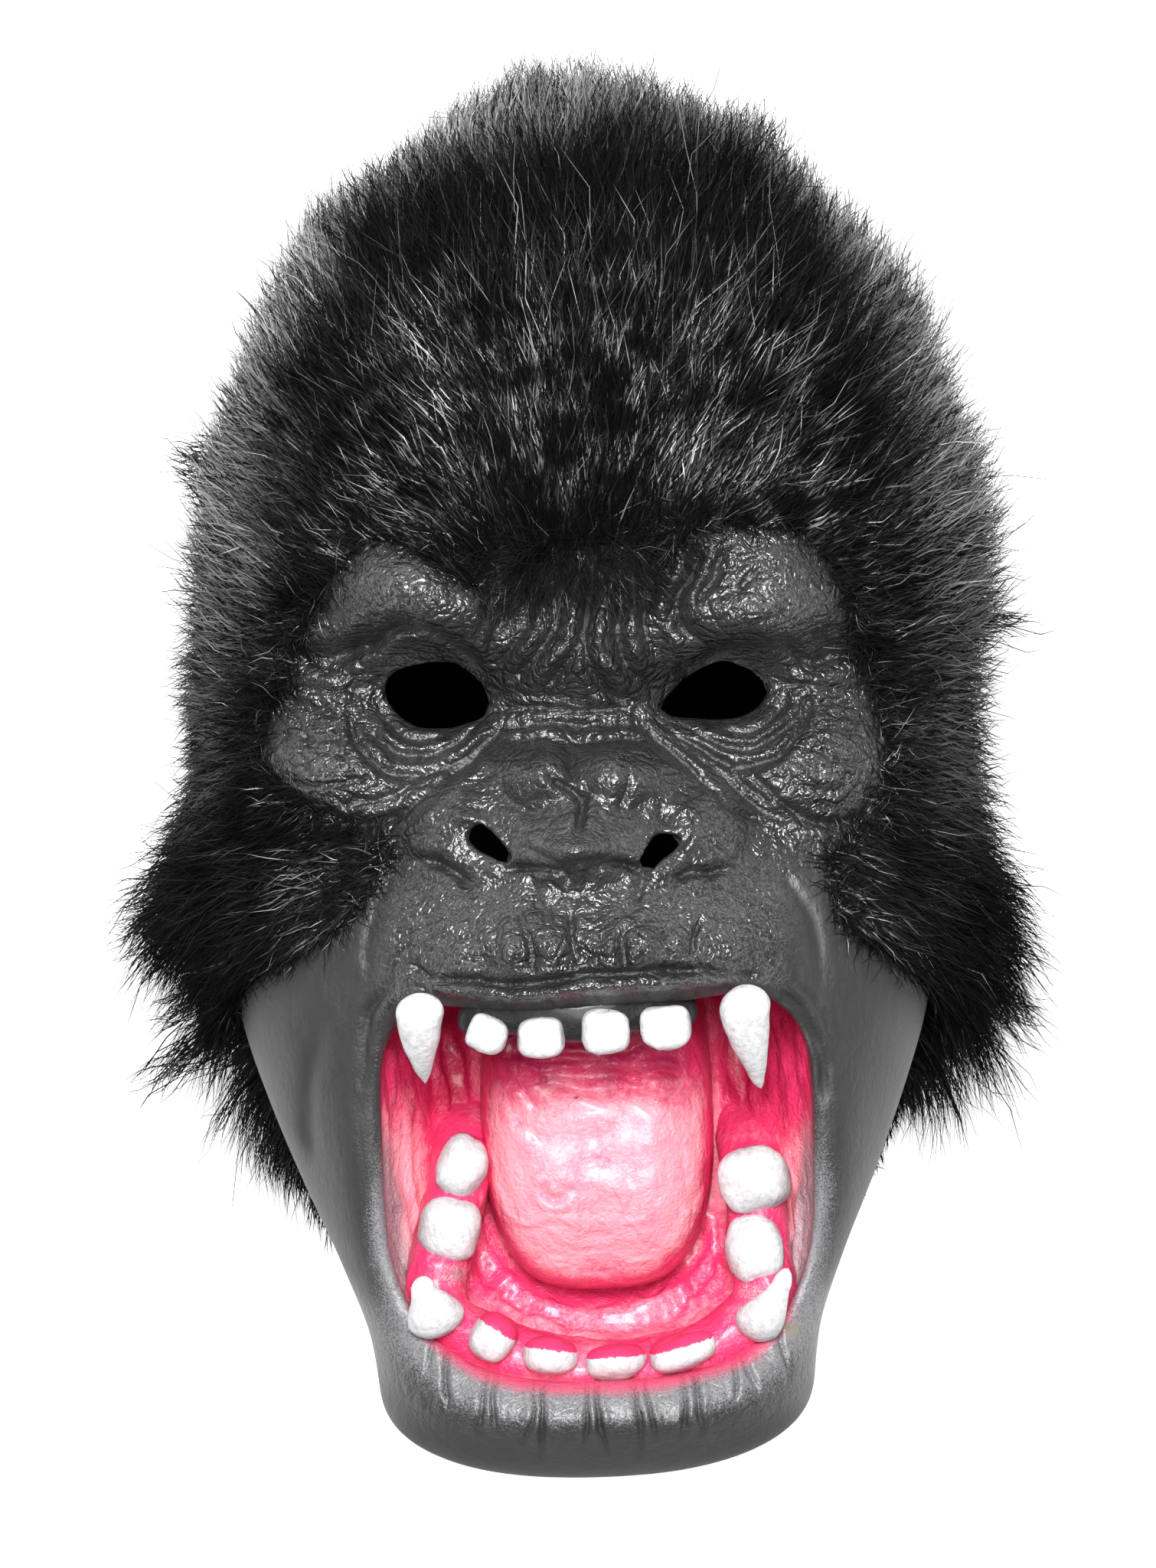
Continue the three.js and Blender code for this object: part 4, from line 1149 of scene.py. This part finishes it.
# Fangs: root, bend, tip, radius, black gum
FANGS = (
    ((-40.2, -50.2, 184), (-40.9, -60, 183), (-39.8, -72.3, 172), 6.3, 1.0),
    ((38.9, -50.6, 184), (38.6, -62, 183), (42.5, -76.2, 172), 6.7, 1.0),
    ((-38.0, -134.4, 148), (-41.6, -128, 160), (-43.2, -121.0, 158), 7.4, 0.0),
    ((37.6, -138.4, 148), (44.0, -132, 160), (48.2, -121.5, 158), 5.9, 0.0),
)


def tooth(place, size, turn, power, seed, rows=24, columns=28):
    """A rounded, slightly uneven block with its flat sides towards its neighbours."""
    d = ball(rows, columns)
    p = np.stack([squared(d[..., k], power) * size[k] for k in range(3)], axis=-1)
    p = p * (1 + 0.10 * noise(p + seed * 31.0, 5.5, seed))[..., None] + 0.22 * noise(p, 2.0, seed)[..., None]
    a = math.radians(turn)
    x = p[..., 0] * math.cos(a) - p[..., 1] * math.sin(a)
    y = p[..., 0] * math.sin(a) + p[..., 1] * math.cos(a)
    turned = np.stack([x, y, p[..., 2]], axis=-1) + place
    return turned.reshape(-1, 3), grid_faces(rows, columns, closed=True)[:, ::-1], d.reshape(-1, 3)


def fang(base, bend, tip, radius, seed, short, rows=34, columns=28):
    """A pointed tooth along a slightly bent line, round at its root; a short one keeps a thin nib."""
    t = np.linspace(0, 1, rows)[:, None] ** 1.15
    line = (1 - t) ** 2 * np.array(base) + 2 * t * (1 - t) * np.array(bend) + t**2 * np.array(tip)
    if short:
        width = radius * (1 - 0.6 * step(t, 0.2, 0.85)) * np.sqrt(np.clip((1 - t) / 0.14, 0, 1))
    else:
        width = radius * np.maximum(0, 1 - t**1.7) ** 0.78
    width = np.maximum(width, 2.6 * np.sqrt(np.maximum(0, 1 - t)))
    root = np.clip(t / 0.25, 0, 1)
    width = width * np.sqrt(root * (2 - root))
    way = unit(np.array(tip, float) - base)
    across = unit(np.cross(way, UPWARDS))
    up = np.cross(across, way)
    a = np.linspace(0, 2 * np.pi, columns, endpoint=False)[:, None]
    p = line[:, None] + width[..., None] * (np.cos(a) * across + 0.85 * np.sin(a) * up)[None]
    p = p + 0.28 * noise(p, 3.4, seed)[..., None]
    return p.reshape(-1, 3), grid_faces(rows, columns, closed=True), np.repeat(t[:, 0], columns)


def make_teeth():
    parts = []
    for (power, seed, gum, places), painted in zip(BLUNT_TEETH, PAINTED):
        for i, (x, y, z, rx, ry, rz, turn) in enumerate(places):
            p, f, d = tooth((x, y, z), (rx, ry, rz), turn, power, seed + i)
            parts.append((p, f, 0.5 + painted(d), gum))
    for i, (base, bend, tip, radius, gum) in enumerate(FANGS):
        p, f, t = fang(base, bend, tip, radius, 81 + i, not gum)
        parts.append((p, f, 0.5 + (3 if gum else 2) * (t + 0.1 * gum - 0.02), gum))
    points, faces, white, gum = zip(*parts)
    start = np.cumsum([0] + [len(p) for p in points])
    gum = np.concatenate([np.full(len(p), g) for p, g in zip(points, gum)])
    faces = [f + at for f, at in zip(faces, start)]
    return make_mesh("teeth", np.vstack(points), faces, WHITE, dict(white=np.concatenate(white), gum=gum))


GUM_BED = (
    (-30, -66, 98), (-31, -80, 111), (-32.5, -95, 130), (-36, -110, 134), (-39.5, -124, 138),
    (-36.5, -134, 141),
    (-26, -140.5, 142), (-11, -145, 143), (5, -147, 143), (21, -145, 143), (33, -140, 142), (42, -131, 141),
    (42, -118, 137), (41, -100, 132), (39.5, -84, 112), (38, -68, 98),
)


def make_gums():
    """Black ridge of the upper gum that the front teeth stand in, and the pink bed of the lower teeth."""
    d = ball(40, 100)
    x = -1.8 + 29.5 * squared(d[..., 0], 0.6)
    y = -55.6 + 6.6 * squared(d[..., 1], 0.8) - 0.9 * np.cos((x + 2.4) / 14.5 * np.pi)
    z = 178.5 + 6.5 * squared(d[..., 2], 0.8) - 0.006 * (x + 2) ** 2
    upper = np.stack([x, y, z], axis=-1)
    upper = (upper + 0.5 * noise(upper, 4.5, 31)[..., None]).reshape(-1, 3)
    path = smooth_line(GUM_BED, 10)
    way = np.gradient(path, axis=0)
    out = unit(np.stack([way[:, 1], -way[:, 0], 0 * way[:, 0]], axis=1))[:, None]
    b = np.linspace(0, 2 * np.pi, 28, endpoint=False)[None, :, None]
    ring = path[:, None] + 7.8 * np.cos(b) * out + 9.5 * np.sin(b) * UPWARDS
    ring = ring + (1.3 * noise(ring, 7, 32) + 0.5 * noise(ring, 2.6, 33))[..., None] * UPWARDS
    ring = ring + 0.6 * noise(ring, 4, 34)[..., None] * out
    ring[..., 2] = np.maximum(ring[..., 2], MOUTH_BED)
    faces = [grid_faces(40, 100, closed=True)[:, ::-1], grid_faces(*ring.shape[:2], closed=True) + len(upper)]
    points = np.vstack([upper, ring.reshape(-1, 3)])
    x, y, z = points.T
    low = np.arange(len(points)) >= len(upper)
    # painted shade: crimson low in the bed of the lower teeth, weaker at its upper ends
    depth = (1 - step(z, 136, 147)) * (0.3 + 0.7 * step(-y, 94, 112))
    depth = np.where(low, depth + 0.5 * noise(points, 5, 35), 0)
    pale = low * 0.35 * step(noise(points, 7, 36), -0.2, 0.5)
    smear = low * (0.75 * spot(x, y, -34.5, -121.5, 4, 3) + 0.6 * spot(x, y, 39, -128, 4, 2.4))
    return make_mesh("gums", points, faces, PINK, dict(depth=depth, pale=pale, silver=smear, gum=~low * 1.0))


# The hood

FUR_EDGE = np.array([
    (2, 50), (-10, 47.5), (-19, 45.5), (-29, 52), (-42, 61), (-51, 60), (-59, 51), (-67, 36), (-73, 24),
    (-78, 9),
    (-57, -9), (-47, -12), (-49, -21), (-58, -33), (-82, -46), (-88, -58), (-100, -76), (-150, -80),
    (-150, -300),
    (150, -300), (150, -96), (98, -92), (88, -64), (86, -52), (73, -44), (63, -36), (61, -20), (72, -10),
    (76, 5), (75, 17), (69, 30), (66, 47), (56, 60), (38, 61), (28, 58), (18, 48),
], float)


KNIT_OUTER, KNIT_INNER, PILE_ROOT = 1.7, 0.4, 1.3  # above the head form
KNIT_GROUND = 0.5  # the backing comes no nearer to the ground


def hood_covers(points, margin=0.0):
    """True where the hood lies over the head form, this far inside its edge."""
    x, y, z = np.asarray(points).reshape(-1, 3).T
    covered = (outside(x, y, FUR_EDGE) > margin) | (z < FRINGE_BACK)
    return covered & (y > HEM + margin)


def make_backing():
    """Knitted ground of the pile: an outer and an inner face joined round the edge."""
    rows = graded((CROWN - 0.6, 160, 1.6), (160, -90, 3.0), (-90, HEM, 1.5))
    places = graded(
        (-1, 1, 0.025), (1, 1.04, 0.005), (1.04, 1.4, 0.04), (1.4, 2.6, 0.05), (2.6, 2.96, 0.04),
        (2.96, 3, 0.005),
    )[:-1]
    along, y = np.meshgrid(places, rows)
    base, n = head_point(along, y), head_normal(along, y)
    rise = faded_rise(base[..., 0].ravel(), base[..., 1].ravel()).reshape(along.shape)
    base[..., 2] += np.where(along <= 1, rise, 0)
    faces = grid_faces(len(rows), len(places), closed=True)[:, ::-1]
    faces = faces[hood_covers(base, 1.0)[faces].all(axis=1)]
    outer, inner = ((base + rise * n).reshape(-1, 3) for rise in (KNIT_OUTER, KNIT_INNER))
    outer[:, 2] = np.maximum(outer[:, 2], KNIT_GROUND)
    inner[:, 2] = np.maximum(inner[:, 2], KNIT_GROUND + 0.4)
    edges = {}
    for quad in faces:
        for a, b in zip(quad, np.roll(quad, -1)):
            if (b, a) in edges:
                del edges[(b, a)]
            else:
                edges[(a, b)] = True
    # the edges left have one face only; those of the first row meet the crown
    start, end = np.array([edge for edge in edges if max(edge) >= len(places)]).T
    count = len(outer)
    side = np.stack([end, start, start + count, end + count], axis=1)
    first = np.arange(len(places))
    cap = np.stack([np.full(len(places), 2 * count), np.roll(first, -1), first], axis=1)[:, ::-1]
    under = np.stack([np.full(len(places), 2 * count + 1), np.roll(first, -1) + count, first + count], axis=1)
    top, middle = Skin.shift(CROWN), Skin.middle(CROWN)
    points = np.vstack([outer, inner, (top, CROWN + 1.2, middle), (top, CROWN - 0.2, middle)])
    inside = np.concatenate([np.zeros(count), np.ones(count), [0, 1]])
    groups = [faces, faces[:, ::-1] + count, side, cap, under]
    return make_mesh("fur_backing", points, groups, KNIT, dict(inside=inside))


COMB_FROM = (2.0, 22.0)  # the pile radiates from here over the head
BROW = (4.0, 22.0)  # middle of the bright band of pile


def tangent(lie, normals):
    """The part of each way that runs along the surface."""
    return lie - normals * np.sum(lie * normals, axis=1, keepdims=True)


def comb(points, normals):
    """Which way the pile lies: out from the brow, over the crown and down the back."""
    x, y, z = points.T
    away = unit(np.stack([x - COMB_FROM[0], y - COMB_FROM[1], np.zeros(len(x))], axis=1), 1)
    front = step(z, 70, 120)[:, None]
    rear = 1 - step(z + 12 * noise(points, 22, 71), 0, 95)[:, None]
    low = step(-y, 30, 80)[:, None]
    lie = away * (0.25 + 0.75 * front) * (1 - rear) - UPWARDS * (0.35 + 0.5 * (1 - front))
    lie = lie + np.array([0, -1.0, 0]) * rear * 1.2 + np.array([0, -1.0, 0]) * low * 0.5
    return unit(tangent(lie, normals), 1e-6)


# Length in millimetres and stand in degrees of the fibres, by height
PILE = profile(
    (-112, 14), (-100, 18), (-90, 25), (-76, 36), (-60, 42), (-34, 38), (-15, 28), (10, 19), (36, 22),
    (60, 27), (100, 29), (172, 27),
)
STAND = profile((-112, 34), (-80, 48), (-50, 48), (-20, 42), (10, 34), (40, 38), (100, 42), (172, 34))
UNEVEN_PILE = (  # place, size and share of the pile's length that is missing there
    (-40, 162, 28, 24, 0.44), (42, 172, 24, 14, 0.3), (-82, 104, 18, 20, 0.28), (66, 138, 18, 20, 0.24),
    (98, 86, 18, 12, 0.25), (-95, -10, 24, 14, -0.5), (98, 8, 24, 16, -0.3), (-100, -42, 24, 12, 0.25),
)


def pile_length(points):
    """Length of the fibres: short at the face's edge, long on crown and ruffs."""
    x, y, z = points.T
    full = PILE(y) * (1 + 0.08 * step(x, 60, 90) * step(y, 20, 60))
    ruff = step(-y, 0, 25) * (1 - step(-y, 70, 92))
    full = full * (1 + ruff * np.where(x > 0, 0.24, 0.12) * step(np.abs(x), 60, 85))
    full = full * (1 + 0.35 * step(x, 60, 85) * hump(y, 28, 26))
    full = full * (1 - 0.2 * step(-x, 60, 85) * hump(y, -46, 16))
    full = full * (1 - 0.7 * step(x, 45, 75) * step(-y, 60, 84))
    full = full * (1 - 0.25 * step(-x, 45, 75) * step(-y, 76, 92))
    edge = np.clip(outside(x, y, FUR_EDGE), 0, 40)
    short = np.where(z > 95, 0.42 + 0.58 * step(edge, 0, 26), 1)
    return full * short * (1 - 0.35 * (1 - step(z, 20, 60)))


def pile_path(points, normals, lie, length, stand, sag, sway, curl, shares):
    """Places along each fibre at a few shares of its length."""
    length, stand, sag, curl = (v[:, None, None] for v in (length, stand, sag, curl))
    beside = np.cross(lie, normals)
    points, normals, lie, sway, beside = (v[:, None] for v in (points, normals, lie, sway, beside))
    rise, run = np.sin(stand), np.cos(stand)
    u = shares[None, :, None]
    bend = np.sin(u * 7.0 + curl * 60) * u * 0.09
    path = points + length * (
        lie * (run * u + 0.25 * rise * u**2) + normals * (rise * u - sag * u**2) + sway * u**1.6 + beside * bend
    )
    path[..., 2] = np.maximum(path[..., 2], 0.25 + 0.3 * u[..., 0])
    return path


def scatter(random, count):
    """Random roots over the hood, most of them in front: place round and height."""
    rows = np.linspace(HEM + 1, CROWN - 0.4, 190)
    places = np.linspace(-1, 3, 260)
    along, y = np.meshgrid(places, rows)
    p = head_point(along, y)
    across = np.linalg.norm(p[:-1, 1:] - p[:-1, :-1], axis=-1)
    up = np.linalg.norm(p[1:, :-1] - p[:-1, :-1], axis=-1)
    middle = 0.25 * (p[1:, 1:] + p[:-1, 1:] + p[1:, :-1] + p[:-1, :-1])
    weight = across * up * more_in_front(middle.reshape(-1, 3)).reshape(across.shape)
    share = np.cumsum(weight.ravel())
    cell = np.searchsorted(share, random.random(count) * share[-1])
    i, j = np.unravel_index(np.minimum(cell, weight.size - 1), weight.shape)
    along = places[j] + random.random(count) * (places[1] - places[0])
    return along, rows[i] + random.random(count) * (rows[1] - rows[0])


def more_in_front(points):
    """How many roots there are for each area: fewest below, most round the face."""
    x, y, z = points.T
    round_face = (np.clip(outside(x, y, FUR_EDGE), -5, 20) < 12) * (z > 95)
    return (0.22 + 0.78 * step(z, 20, 85)) * hood_covers(points) * (1 + 0.6 * round_face)


def within_bounds(path):
    """Shortens the fibres whose tips would reach past the hood's outline."""
    side, crown, front = 131, 196, 209.5
    x, y = path[:, -1, 0] - OUTLINE_CENTRE[0], path[:, -1, 1]
    over = np.maximum(np.abs(x) - side, 0) + np.maximum(y - crown, 0)
    keep = np.clip(1 - over / 30, 0.2, 1)[:, None, None] * np.where(over > 0, 0.75, 1.0)[:, None, None]
    path = path[:, :1] + (path - path[:, :1]) * keep
    path[..., 2] = np.minimum(path[..., 2], front)
    return path


def gathered(path, root, drift, random, shares, strength):
    """Each lock leans its tips together."""
    lock = np.floor((root + 2.2 * drift * 20) / 5.5).astype(np.int64)
    lock = np.unique(lock, axis=0, return_inverse=True)[1].ravel()
    members = np.bincount(lock).astype(float)
    tips = np.stack([np.bincount(lock, path[:, -1, k]) / members for k in range(3)], axis=1)[lock]
    pull = random.uniform(*strength, len(root))[:, None, None] * shares[None, :, None] ** 1.6
    return path + (tips - path[:, -1])[:, None] * pull


TO_LIGHT = np.array([0.0, 0.12, 0.99])  # halfway between the eye above and the main light


def ribbons(name, path, wide, random, tint, shine, facing):
    """A narrow ribbon along each path: two sides up to the last place, and one tip."""
    n, stations = path.shape[:2]
    way = unit(np.gradient(path, axis=1), 1e-6)
    lit = TO_LIGHT * (0.35 + 0.65 * step(facing[:, 2], -0.3, 0.2))[:, None]
    flat_side = 0.3 * facing + lit + random.normal(0, 0.26, (n, 3))
    side = unit(np.cross(way, np.broadcast_to(flat_side[:, None], way.shape)), 1e-6)
    before_tip = np.linspace(0, 1, stations)[:-1]
    taper = 1 - 0.45 * before_tip**1.5
    half = 0.5 * wide * random.uniform(0.7, 1.3, n)[:, None, None] * taper[None, :, None]
    m = stations - 1
    left, right = path[:, :m] - side[:, :m] * half, path[:, :m] + side[:, :m] * half
    points = np.concatenate([left, right, path[:, m:]], axis=1).reshape(-1, 3)
    width = 2 * m + 1
    first = (np.arange(n) * width)[:, None]
    quads = [first + np.array([k, m + k, m + k + 1, k + 1]) for k in range(m - 1)]
    tip = first + np.array([m - 1, 2 * m - 1, 2 * m])
    along_tip = np.tile(np.concatenate([before_tip, before_tip, [1.0]]), n)
    tint = np.minimum(np.repeat(tint, width) * (0.25 + 0.75 * along_tip), 1)
    return make_mesh(name, points, [*quads, tip], FIBRE, dict(tint=tint, shine=np.repeat(shine, width)))


def make_pile(name, seed, count, wide, stiff=0.0, longer=1.0, pale=0.0, stations=4, gather=(0.1, 0.5)):
    """Tapered fibres over the hood, gathered into small locks."""
    random = np.random.default_rng(seed)
    along, y = scatter(random, count)
    root, normal = head_point(along, y), head_normal(along, y)
    root[:, 2] += np.where((along + 1) % 4 - 1 <= 1, faded_rise(root[:, 0], root[:, 1]), 0)
    keep = hood_covers(root, 0.4)
    root, normal = root[keep], normal[keep]
    n = len(root)
    lie = comb(root, normal)
    root = root + PILE_ROOT * normal
    drift = np.stack([noise(root, 16, seed + k) for k in range(3)], axis=1) * 0.34
    drift = drift + np.stack([noise(root, 7, seed + 40 + k) for k in range(3)], axis=1) * 0.2
    lie = unit(tangent(lie + drift + random.normal(0, 0.13 + stiff, (n, 3)), normal))
    x, y, facing = root[:, 0], root[:, 1], normal[:, 2]
    length = pile_length(root) * longer * random.uniform(0.6, 1.15, n) * (1 + 0.16 * noise(root, 12, seed + 5))
    for middle_x, middle_y, wide_x, wide_y, less in UNEVEN_PILE:
        length = length * (1 - less * spot(x, y, middle_x, middle_y, wide_x, wide_y))
    length = length * (1 + 0.25 * step(facing, 0.6, 0.9) * step(y, 55, 75))
    front = step(facing, 0.55, 0.9)
    stand = np.radians(STAND(y) - 13 * front + random.normal(0, 9, n) + 10 * noise(root, 9, seed + 6))
    sag = random.uniform(0.08, 0.3, n)
    sway = random.normal(0, 0.09 + 2 * stiff, (n, 3))
    shares = np.linspace(0, 1, stations) ** 0.95
    path = pile_path(root, normal, lie, length, stand, sag, sway, random.random(n), shares)
    path = gathered(path, root, drift, random, shares, gather)
    path[..., 2] = np.maximum(path[..., 2], 0.3)
    path = within_bounds(path)
    light = random.random(n)
    tint = np.where(light > 0.997 - pale, 0.35, np.where(light > 0.95, 0.04, 0.001 + 0.006 * light))
    # grey where the pile turns away at the sides as painted rim light, bright in a band over the brow, dark
    # beyond it
    rim = 1 - step(facing + 0.1 * noise(root, 14, seed + 8), 0.5, 0.78)
    rim = rim * step(facing, -0.3, 0.0) * (0.25 + 0.75 * step(y, 20, 90)) * step(y, -30, 20)
    # painted rim light: the fibres turned away at the sides are made paler
    tint = tint + 1.1 * rim * random.random(n) * (random.random(n) > 0.3)
    from_brow = np.hypot(x - BROW[0], y - BROW[1])
    band = hump(from_brow, 62, 19) * front * step(y, 40, 66) * (0.45 + 0.55 * hump(x, 8, 42))
    far = step(from_brow, 84, 102) * front
    ruff = step(-y, 0, 25) * front * np.where(x > 0, 1.0, 0.55)
    tint = tint + 0.014 * ruff * light
    shine = (0.02 + 0.5 * (random.random(n) > 0.8 - 0.25 * ruff)) * (1 - 0.85 * far)
    shine = shine + 1.1 * band * (random.random(n) > 0.4) + 0.7 * rim
    return ribbons(name, path, wide, random, tint, np.minimum(shine, 1) * random.uniform(0.4, 1, n), normal)


def make_fringe(name, seed, count, wide):
    """Short fine hairs round the edge of the face, lying every way, down over the frown in the middle."""
    random = np.random.default_rng(seed)
    line = smooth_line(np.vstack([FUR_EDGE[-18:], FUR_EDGE[:17]]), 20)
    line = line[(np.abs(line[:, 0]) < 87) & (line[:, 1] > -64)]
    reach = np.cumsum(np.append(0, np.linalg.norm(np.diff(line, axis=0), axis=1)))
    place = random.random(count) * reach[-1]
    extra = count // 3
    middle_at = reach[np.argmin(np.hypot(line[:, 0] - 2, line[:, 1] - 49))]
    place[:extra] = np.clip(random.normal(middle_at, 15, extra), 0, reach[-1] - 0.1)
    k = np.clip(np.searchsorted(reach, place) - 1, 0, len(line) - 2)
    share = (place - reach[k]) / np.maximum(reach[k + 1] - reach[k], 1e-6)
    at = line[k] + (line[k + 1] - line[k]) * share[:, None]
    way = line[np.minimum(k + 3, len(line) - 1)] - line[np.maximum(k - 3, 0)]
    out = unit(np.stack([way[:, 1], -way[:, 0]], axis=1), 1e-6)
    out = np.where((outside(*(at + 2 * out).T, FUR_EDGE) > 0)[:, None], out, -out)
    middle = hump(at[:, 0], 2, 20) * (at[:, 1] > 40)
    x, y = (at + out * (random.uniform(-0.5, 9, count) + 4.5 * middle)[:, None]).T
    root = np.stack([x, y, head_point_z(x, y) + faded_rise(x, y) + 0.6], axis=1)
    lie = np.concatenate([out, np.zeros((count, 1))], axis=1) * random.uniform(-0.85, 1.0, count)[:, None]
    lie = lie + random.normal(0, 0.5, (count, 3)) * (1, 1, 0.2)
    down = np.stack([(x - 2) / 22, -np.ones(count), 0 * x], axis=1)
    lie = unit(lie + middle[:, None] * random.uniform(0.8, 2.0, count)[:, None] * down)
    normal = np.tile(UPWARDS, (count, 1))
    length = random.uniform(4, 10, count) * (1 + 0.5 * middle)
    stand = np.radians(random.uniform(10, 50, count))
    sway, sag = random.normal(0, 0.12, (count, 3)), random.uniform(0.2, 0.5, count)
    path = pile_path(root, normal, lie, length, stand, sag, sway, random.random(count), np.linspace(0, 1, 4))
    tint = np.where(random.random(count) > 0.985, 0.3, 0.004 + 0.02 * random.random(count))
    return ribbons(name, path, wide, random, tint, 0.08 + 0.6 * (random.random(count) > 0.8), normal)


# Locks that stand out of the outline: root, tip, fibres
TUFTS = (
    ((-84, 84, 98), (-103, 89, 92), 70), ((-86, 78, 96), (-101, 80, 90), 40),
    ((50, 152, 100), (56, 172, 98), 60),
    ((92, 40, 108), (121, 37, 104), 40), ((-96, -60, 92), (-117, -77, 86), 50),
    ((97, -50, 100), (119, -68, 94), 60),
    ((-90, -44, 94), (-113, -60, 88), 60), ((-88, -20, 104), (-116, -34, 96), 60),
    ((96, -20, 106), (117, -36, 98), 60),
)


def make_tufts(name, seed, wide):
    random = np.random.default_rng(seed)
    roots, tips = [], []
    for root, tip, count in TUFTS:
        roots.append(np.array(root) + random.normal(0, 3.2, (count, 3)))
        tips.append(np.array(tip) + random.normal(0, 2.4, (count, 3)))
    root = np.vstack(roots)
    lie = np.vstack(tips) - root
    n = len(root)
    length = np.linalg.norm(lie, axis=1) * random.uniform(0.7, 1.05, n)
    lie = unit(lie)
    up = unit(np.cross(lie, np.cross(np.tile(UPWARDS, (n, 1)), lie)))
    stand, sway = random.uniform(0.1, 0.3, n), random.normal(0, 0.05, (n, 3))
    sag = random.uniform(0.1, 0.3, n)
    path = pile_path(root, up, lie, length, stand, sag, sway, random.random(n), np.linspace(0, 1, 5))
    tint, shine = 0.01 + 0.05 * random.random(n), 0.5 * random.random(n)
    return ribbons(name, within_bounds(path), wide, random, tint, shine, up)


def light_and_camera():
    """Straight down on the mask as it lies, in soft light from all round."""
    scene = bpy.context.scene
    camera = bpy.data.objects.new("camera", bpy.data.cameras.new("camera"))
    camera.location = (-0.0006, -0.0057, 1.655)
    camera.rotation_euler = (0, 0, math.radians(-1.85))
    camera.data.sensor_fit = "VERTICAL"
    camera.data.sensor_height = 24.0
    seen_height, distance = 0.3891, 1.5
    camera.data.lens = 24.0 * distance / seen_height
    scene.collection.objects.link(camera)
    scene.camera = camera
    world = bpy.data.worlds.new("studio")
    world.use_nodes = True
    background = world.node_tree.nodes["Background"]
    background.inputs["Color"].default_value = (1, 1, 1, 1)
    background.inputs["Strength"].default_value = 0.1
    scene.world = world
    scene.view_settings.view_transform = "Standard"

    def softbox(name, place, target, size, power):
        light = bpy.data.objects.new(name, bpy.data.lights.new(name, "AREA"))
        light.data.shape = "RECTANGLE"
        light.data.size, light.data.size_y = size
        light.data.energy = power
        light.location = place
        light.rotation_euler = (Vector(target) - Vector(place)).to_track_quat("-Z", "Y").to_euler()
        scene.collection.objects.link(light)

    softbox("key_softbox", (-0.03, 0.40, 1.5), (0, 0, 0.15), (0.4, 0.4), 32)
    softbox("front_softbox", (0.03, -0.05, 1.62), (0, 0, 0.15), (0.5, 0.5), 12)
    softbox("crown_softbox", (0, 1.3, 0.22), (0, 0.1, 0.1), (1.6, 0.3), 7)
    softbox("left_softbox", (-1.2, 0.7, 0.14), (0, 0.08, 0.08), (0.8, 0.2), 1.1)
    softbox("right_softbox", (1.2, 0.7, 0.14), (0, 0.08, 0.08), (0.8, 0.2), 1.1)


def make_floor():
    f = Finish(
        "pale_floor", base_color=(0.8, 0.8, 0.8, 1), roughness=0.9, specular_ior_level=0.1,
        emission_color=(1, 1, 1, 1), emission_strength=0.75,
    )
    bpy.ops.mesh.primitive_plane_add(size=6, location=(0, 0, -0.0005))
    floor = bpy.context.object
    floor.name = "floor"
    floor.data.materials.append(f.material)


light_and_camera()
make_floor()

latex = [make_casting(), casting_inside(), make_mouth(), mouth_back(), make_tongue(), make_teeth(), make_gums()]
fur = [
    make_backing(),
    make_pile("undercoat", 3, 40000, 0.6, longer=0.62, stations=3),
    make_pile("pile_a", 4, 39000, 0.29),
    make_pile("pile_b", 5, 39000, 0.26, longer=1.05, gather=(0.0, 0.35)),
    make_pile("stray_fibres", 6, 3500, 0.2, stiff=0.12, longer=0.85, pale=0.025, stations=6, gather=(0.0, 0.1)),
    make_fringe("fringe", 7, 16500, 0.22),
    make_tufts("tufts", 8, 0.3),
]
for piece in latex:
    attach(piece, "root")
    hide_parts("latex_mask")
for piece in fur:
    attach(piece, "root")
    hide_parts("fur_hood")
